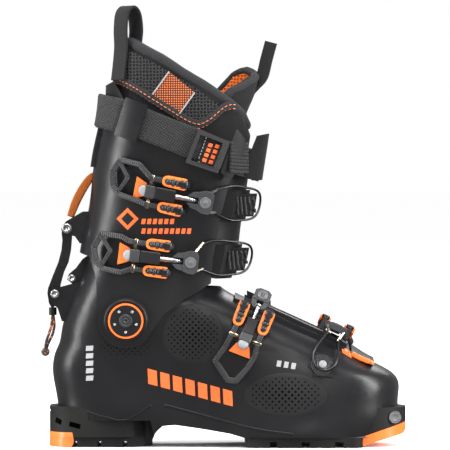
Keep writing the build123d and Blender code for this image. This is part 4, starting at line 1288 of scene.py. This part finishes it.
def add_cuff_details():
    """A plain open diamond and two rows of bars, printed on the cuff."""
    cuff = surface_tree("cuff_shell")
    x, z = -82.7, 189.5
    for k, (size, material, lift) in enumerate([(9.2, "print_orange", 0.12), (5.4, "pad_black", 0.20)]):
        corners = [(x - size, z), (x, z - size), (x + size, z), (x, z + size)]
        add_print("cuff_diamond_%d" % k, cuff, corners, "cuff", material, lift)
    for row, (z, count) in enumerate([(187.6, 6), (179.6, 9)]):
        places = [(-71.5 + k * 4.7, z) for k in range(count)]
        add_row("cuff_bar_%d" % row, cuff, CUFF_BAR, places, "cuff", steps=(3, 3))


# ---------------------------------------------------------------- pivots, pins and edges
RIM_PROFILE = [(-1.6, 14.8), (0.7, 14.9), (1.3, 15.5), (1.4, 16.4), (0.5, 18.0), (-1.6, 18.6)]
RIM_RADIUS = 16.6
SCREW_PROFILE = [(-0.2, 0.0), (-0.2, 1.2), (0.3, 1.2), (0.5, 1.0), (0.5, 0.65), (0.1, 0.65), (0.1, 0.0)]
SCREW_RADIUS = 9.3  # of the circle that a pivot's screws stand on
BOLT_PROFILE = [(-0.2, 0.0), (-0.2, 5.6), (0.5, 5.6), (0.9, 5.1), (0.9, 3.4), (0.3, 3.1), (0.3, 2.4),
                (0.9, 2.2), (1.0, 1.5), (0.2, 1.4), (0.2, 0.0)]
PIN_PROFILE = [(-0.3, 0.0), (-0.3, 1.0), (0.25, 1.0), (0.45, 0.86), (0.45, 0.55), (0.1, 0.5), (0.1, 0.0)]
PIN_NODES = {"lever_pin": "cuff", "lock_pin": "shell", "spoiler_screw": "shell"}
FINE_EDGE_NODES = ("upper_base", "lower_base", "instep_base", "toe_base", "pivot_rings")
EDGE_NODES = (
    "cuff_front_flap", "instep_cover", "cuff_spoiler", "strap_keeper", "strap_buckle", "strap_hook",
    "strap_front_block", "cuff_bracket", "shell_bracket", "lock_lever", "spoiler_arm", "heel_block",
    "heel_tread", "forefoot_tread", "toe_block", "heel_accent", "toe_accent", "pivot_bushes", "upper_catch",
    "lower_catch", "toe_catch", "instep_catch", "lower_shell", "cuff_shell",
)


def facing(side):
    """Turns X to point out of the boot's side."""
    return Matrix.Rotation(side * math.pi / 2, 4, "Z")


def pivot_centre():
    low, high = box_of("pivot_rings")
    return (low + high) / 2


def add_pivot_rim():
    """The bevelled rim of the boss round each pivot."""
    tree, centre = surface_tree("cuff_shell"), pivot_centre()
    ring = [(centre.x / MM + RIM_RADIUS * math.cos(turn), centre.z / MM + RIM_RADIUS * math.sin(turn))
            for turn in (0.0, 1.57, 3.14, 4.71)]
    for side, label in SIDE_NAMES.items():
        around = [from_side(tree, x, z, side)[0] for x, z in ring]
        face = side * min(abs(p.y - MID_Y) for p in around if p is not None) + MID_Y
        place = Matrix.Translation((centre.x, face, centre.z)) @ Matrix.Scale(MM, 4) @ facing(side)
        make_mesh("pivot_rim_" + label, turning(RIM_PROFILE, 72, place), "flap_black", "cuff")


def add_pivot_screws():
    """Small hex-socket screws round each pivot, and its dark hex bolt."""
    centre, box = pivot_centre(), box_of("pivot_bushes")
    for side, label in SIDE_NAMES.items():
        face = box[0].y if side == OUTER else box[1].y
        place = Matrix.Translation((centre.x, face, centre.z)) @ Matrix.Scale(MM, 4)
        heads = []
        for k in range(5):
            turn = math.radians(72 * k + 54)
            spot = Matrix.Translation((SCREW_RADIUS * math.cos(turn), 0, SCREW_RADIUS * math.sin(turn)))
            heads.append(turning(SCREW_PROFILE, 18, place @ spot @ facing(side)))
        make_mesh("pivot_screws_" + label, merge(*heads), "steel", "shell", cad=["pivot_screws"])
        bolt = turning(BOLT_PROFILE, 36, place @ facing(side))
        make_mesh("pivot_bolt_" + label, bolt, "lever_black", "shell")


def add_pin_heads():
    """Round heads with hex sockets on the lock's three cross pins."""
    for node, body in PIN_NODES.items():
        low, high = box_of(node)
        radius, parts = (high.z - low.z) / 2 * 0.92, []
        for side, face in ((OUTER, low.y), (INNER, high.y)):
            place = Matrix.Translation(((low.x + high.x) / 2, face, (low.z + high.z) / 2))
            size = Matrix.Diagonal((MM, radius, radius, 1))
            parts.append(turning(PIN_PROFILE, place=place @ facing(side) @ size))
        make_mesh(node + "_heads", merge(*parts), "steel", body)


def soften_cad_edges():
    """Small rounded edges on the hard plastic nodes."""
    for names, width in ((FINE_EDGE_NODES, 0.0004), (EDGE_NODES, 0.0006)):
        for name in names:
            round_edges(NODES[name], "edge", width, CAD_EDGE_ANGLE)
            NODES[name].modifiers.new("even_shading", "WEIGHTED_NORMAL").keep_sharp = True


BUILD_ORDER = (add_catch_teeth, add_release_cord, soften_cad_edges, add_liner, add_tongue, add_webbing,
               add_power_strap, add_strap_details, add_pivot_rim, add_pivot_screws, add_pin_heads,
               add_shell_details, add_cuff_details)

for buckle in BUCKLES:
    add_buckle(buckle)
for build_step in BUILD_ORDER:
    build_step()

add_stage()
add_camera()
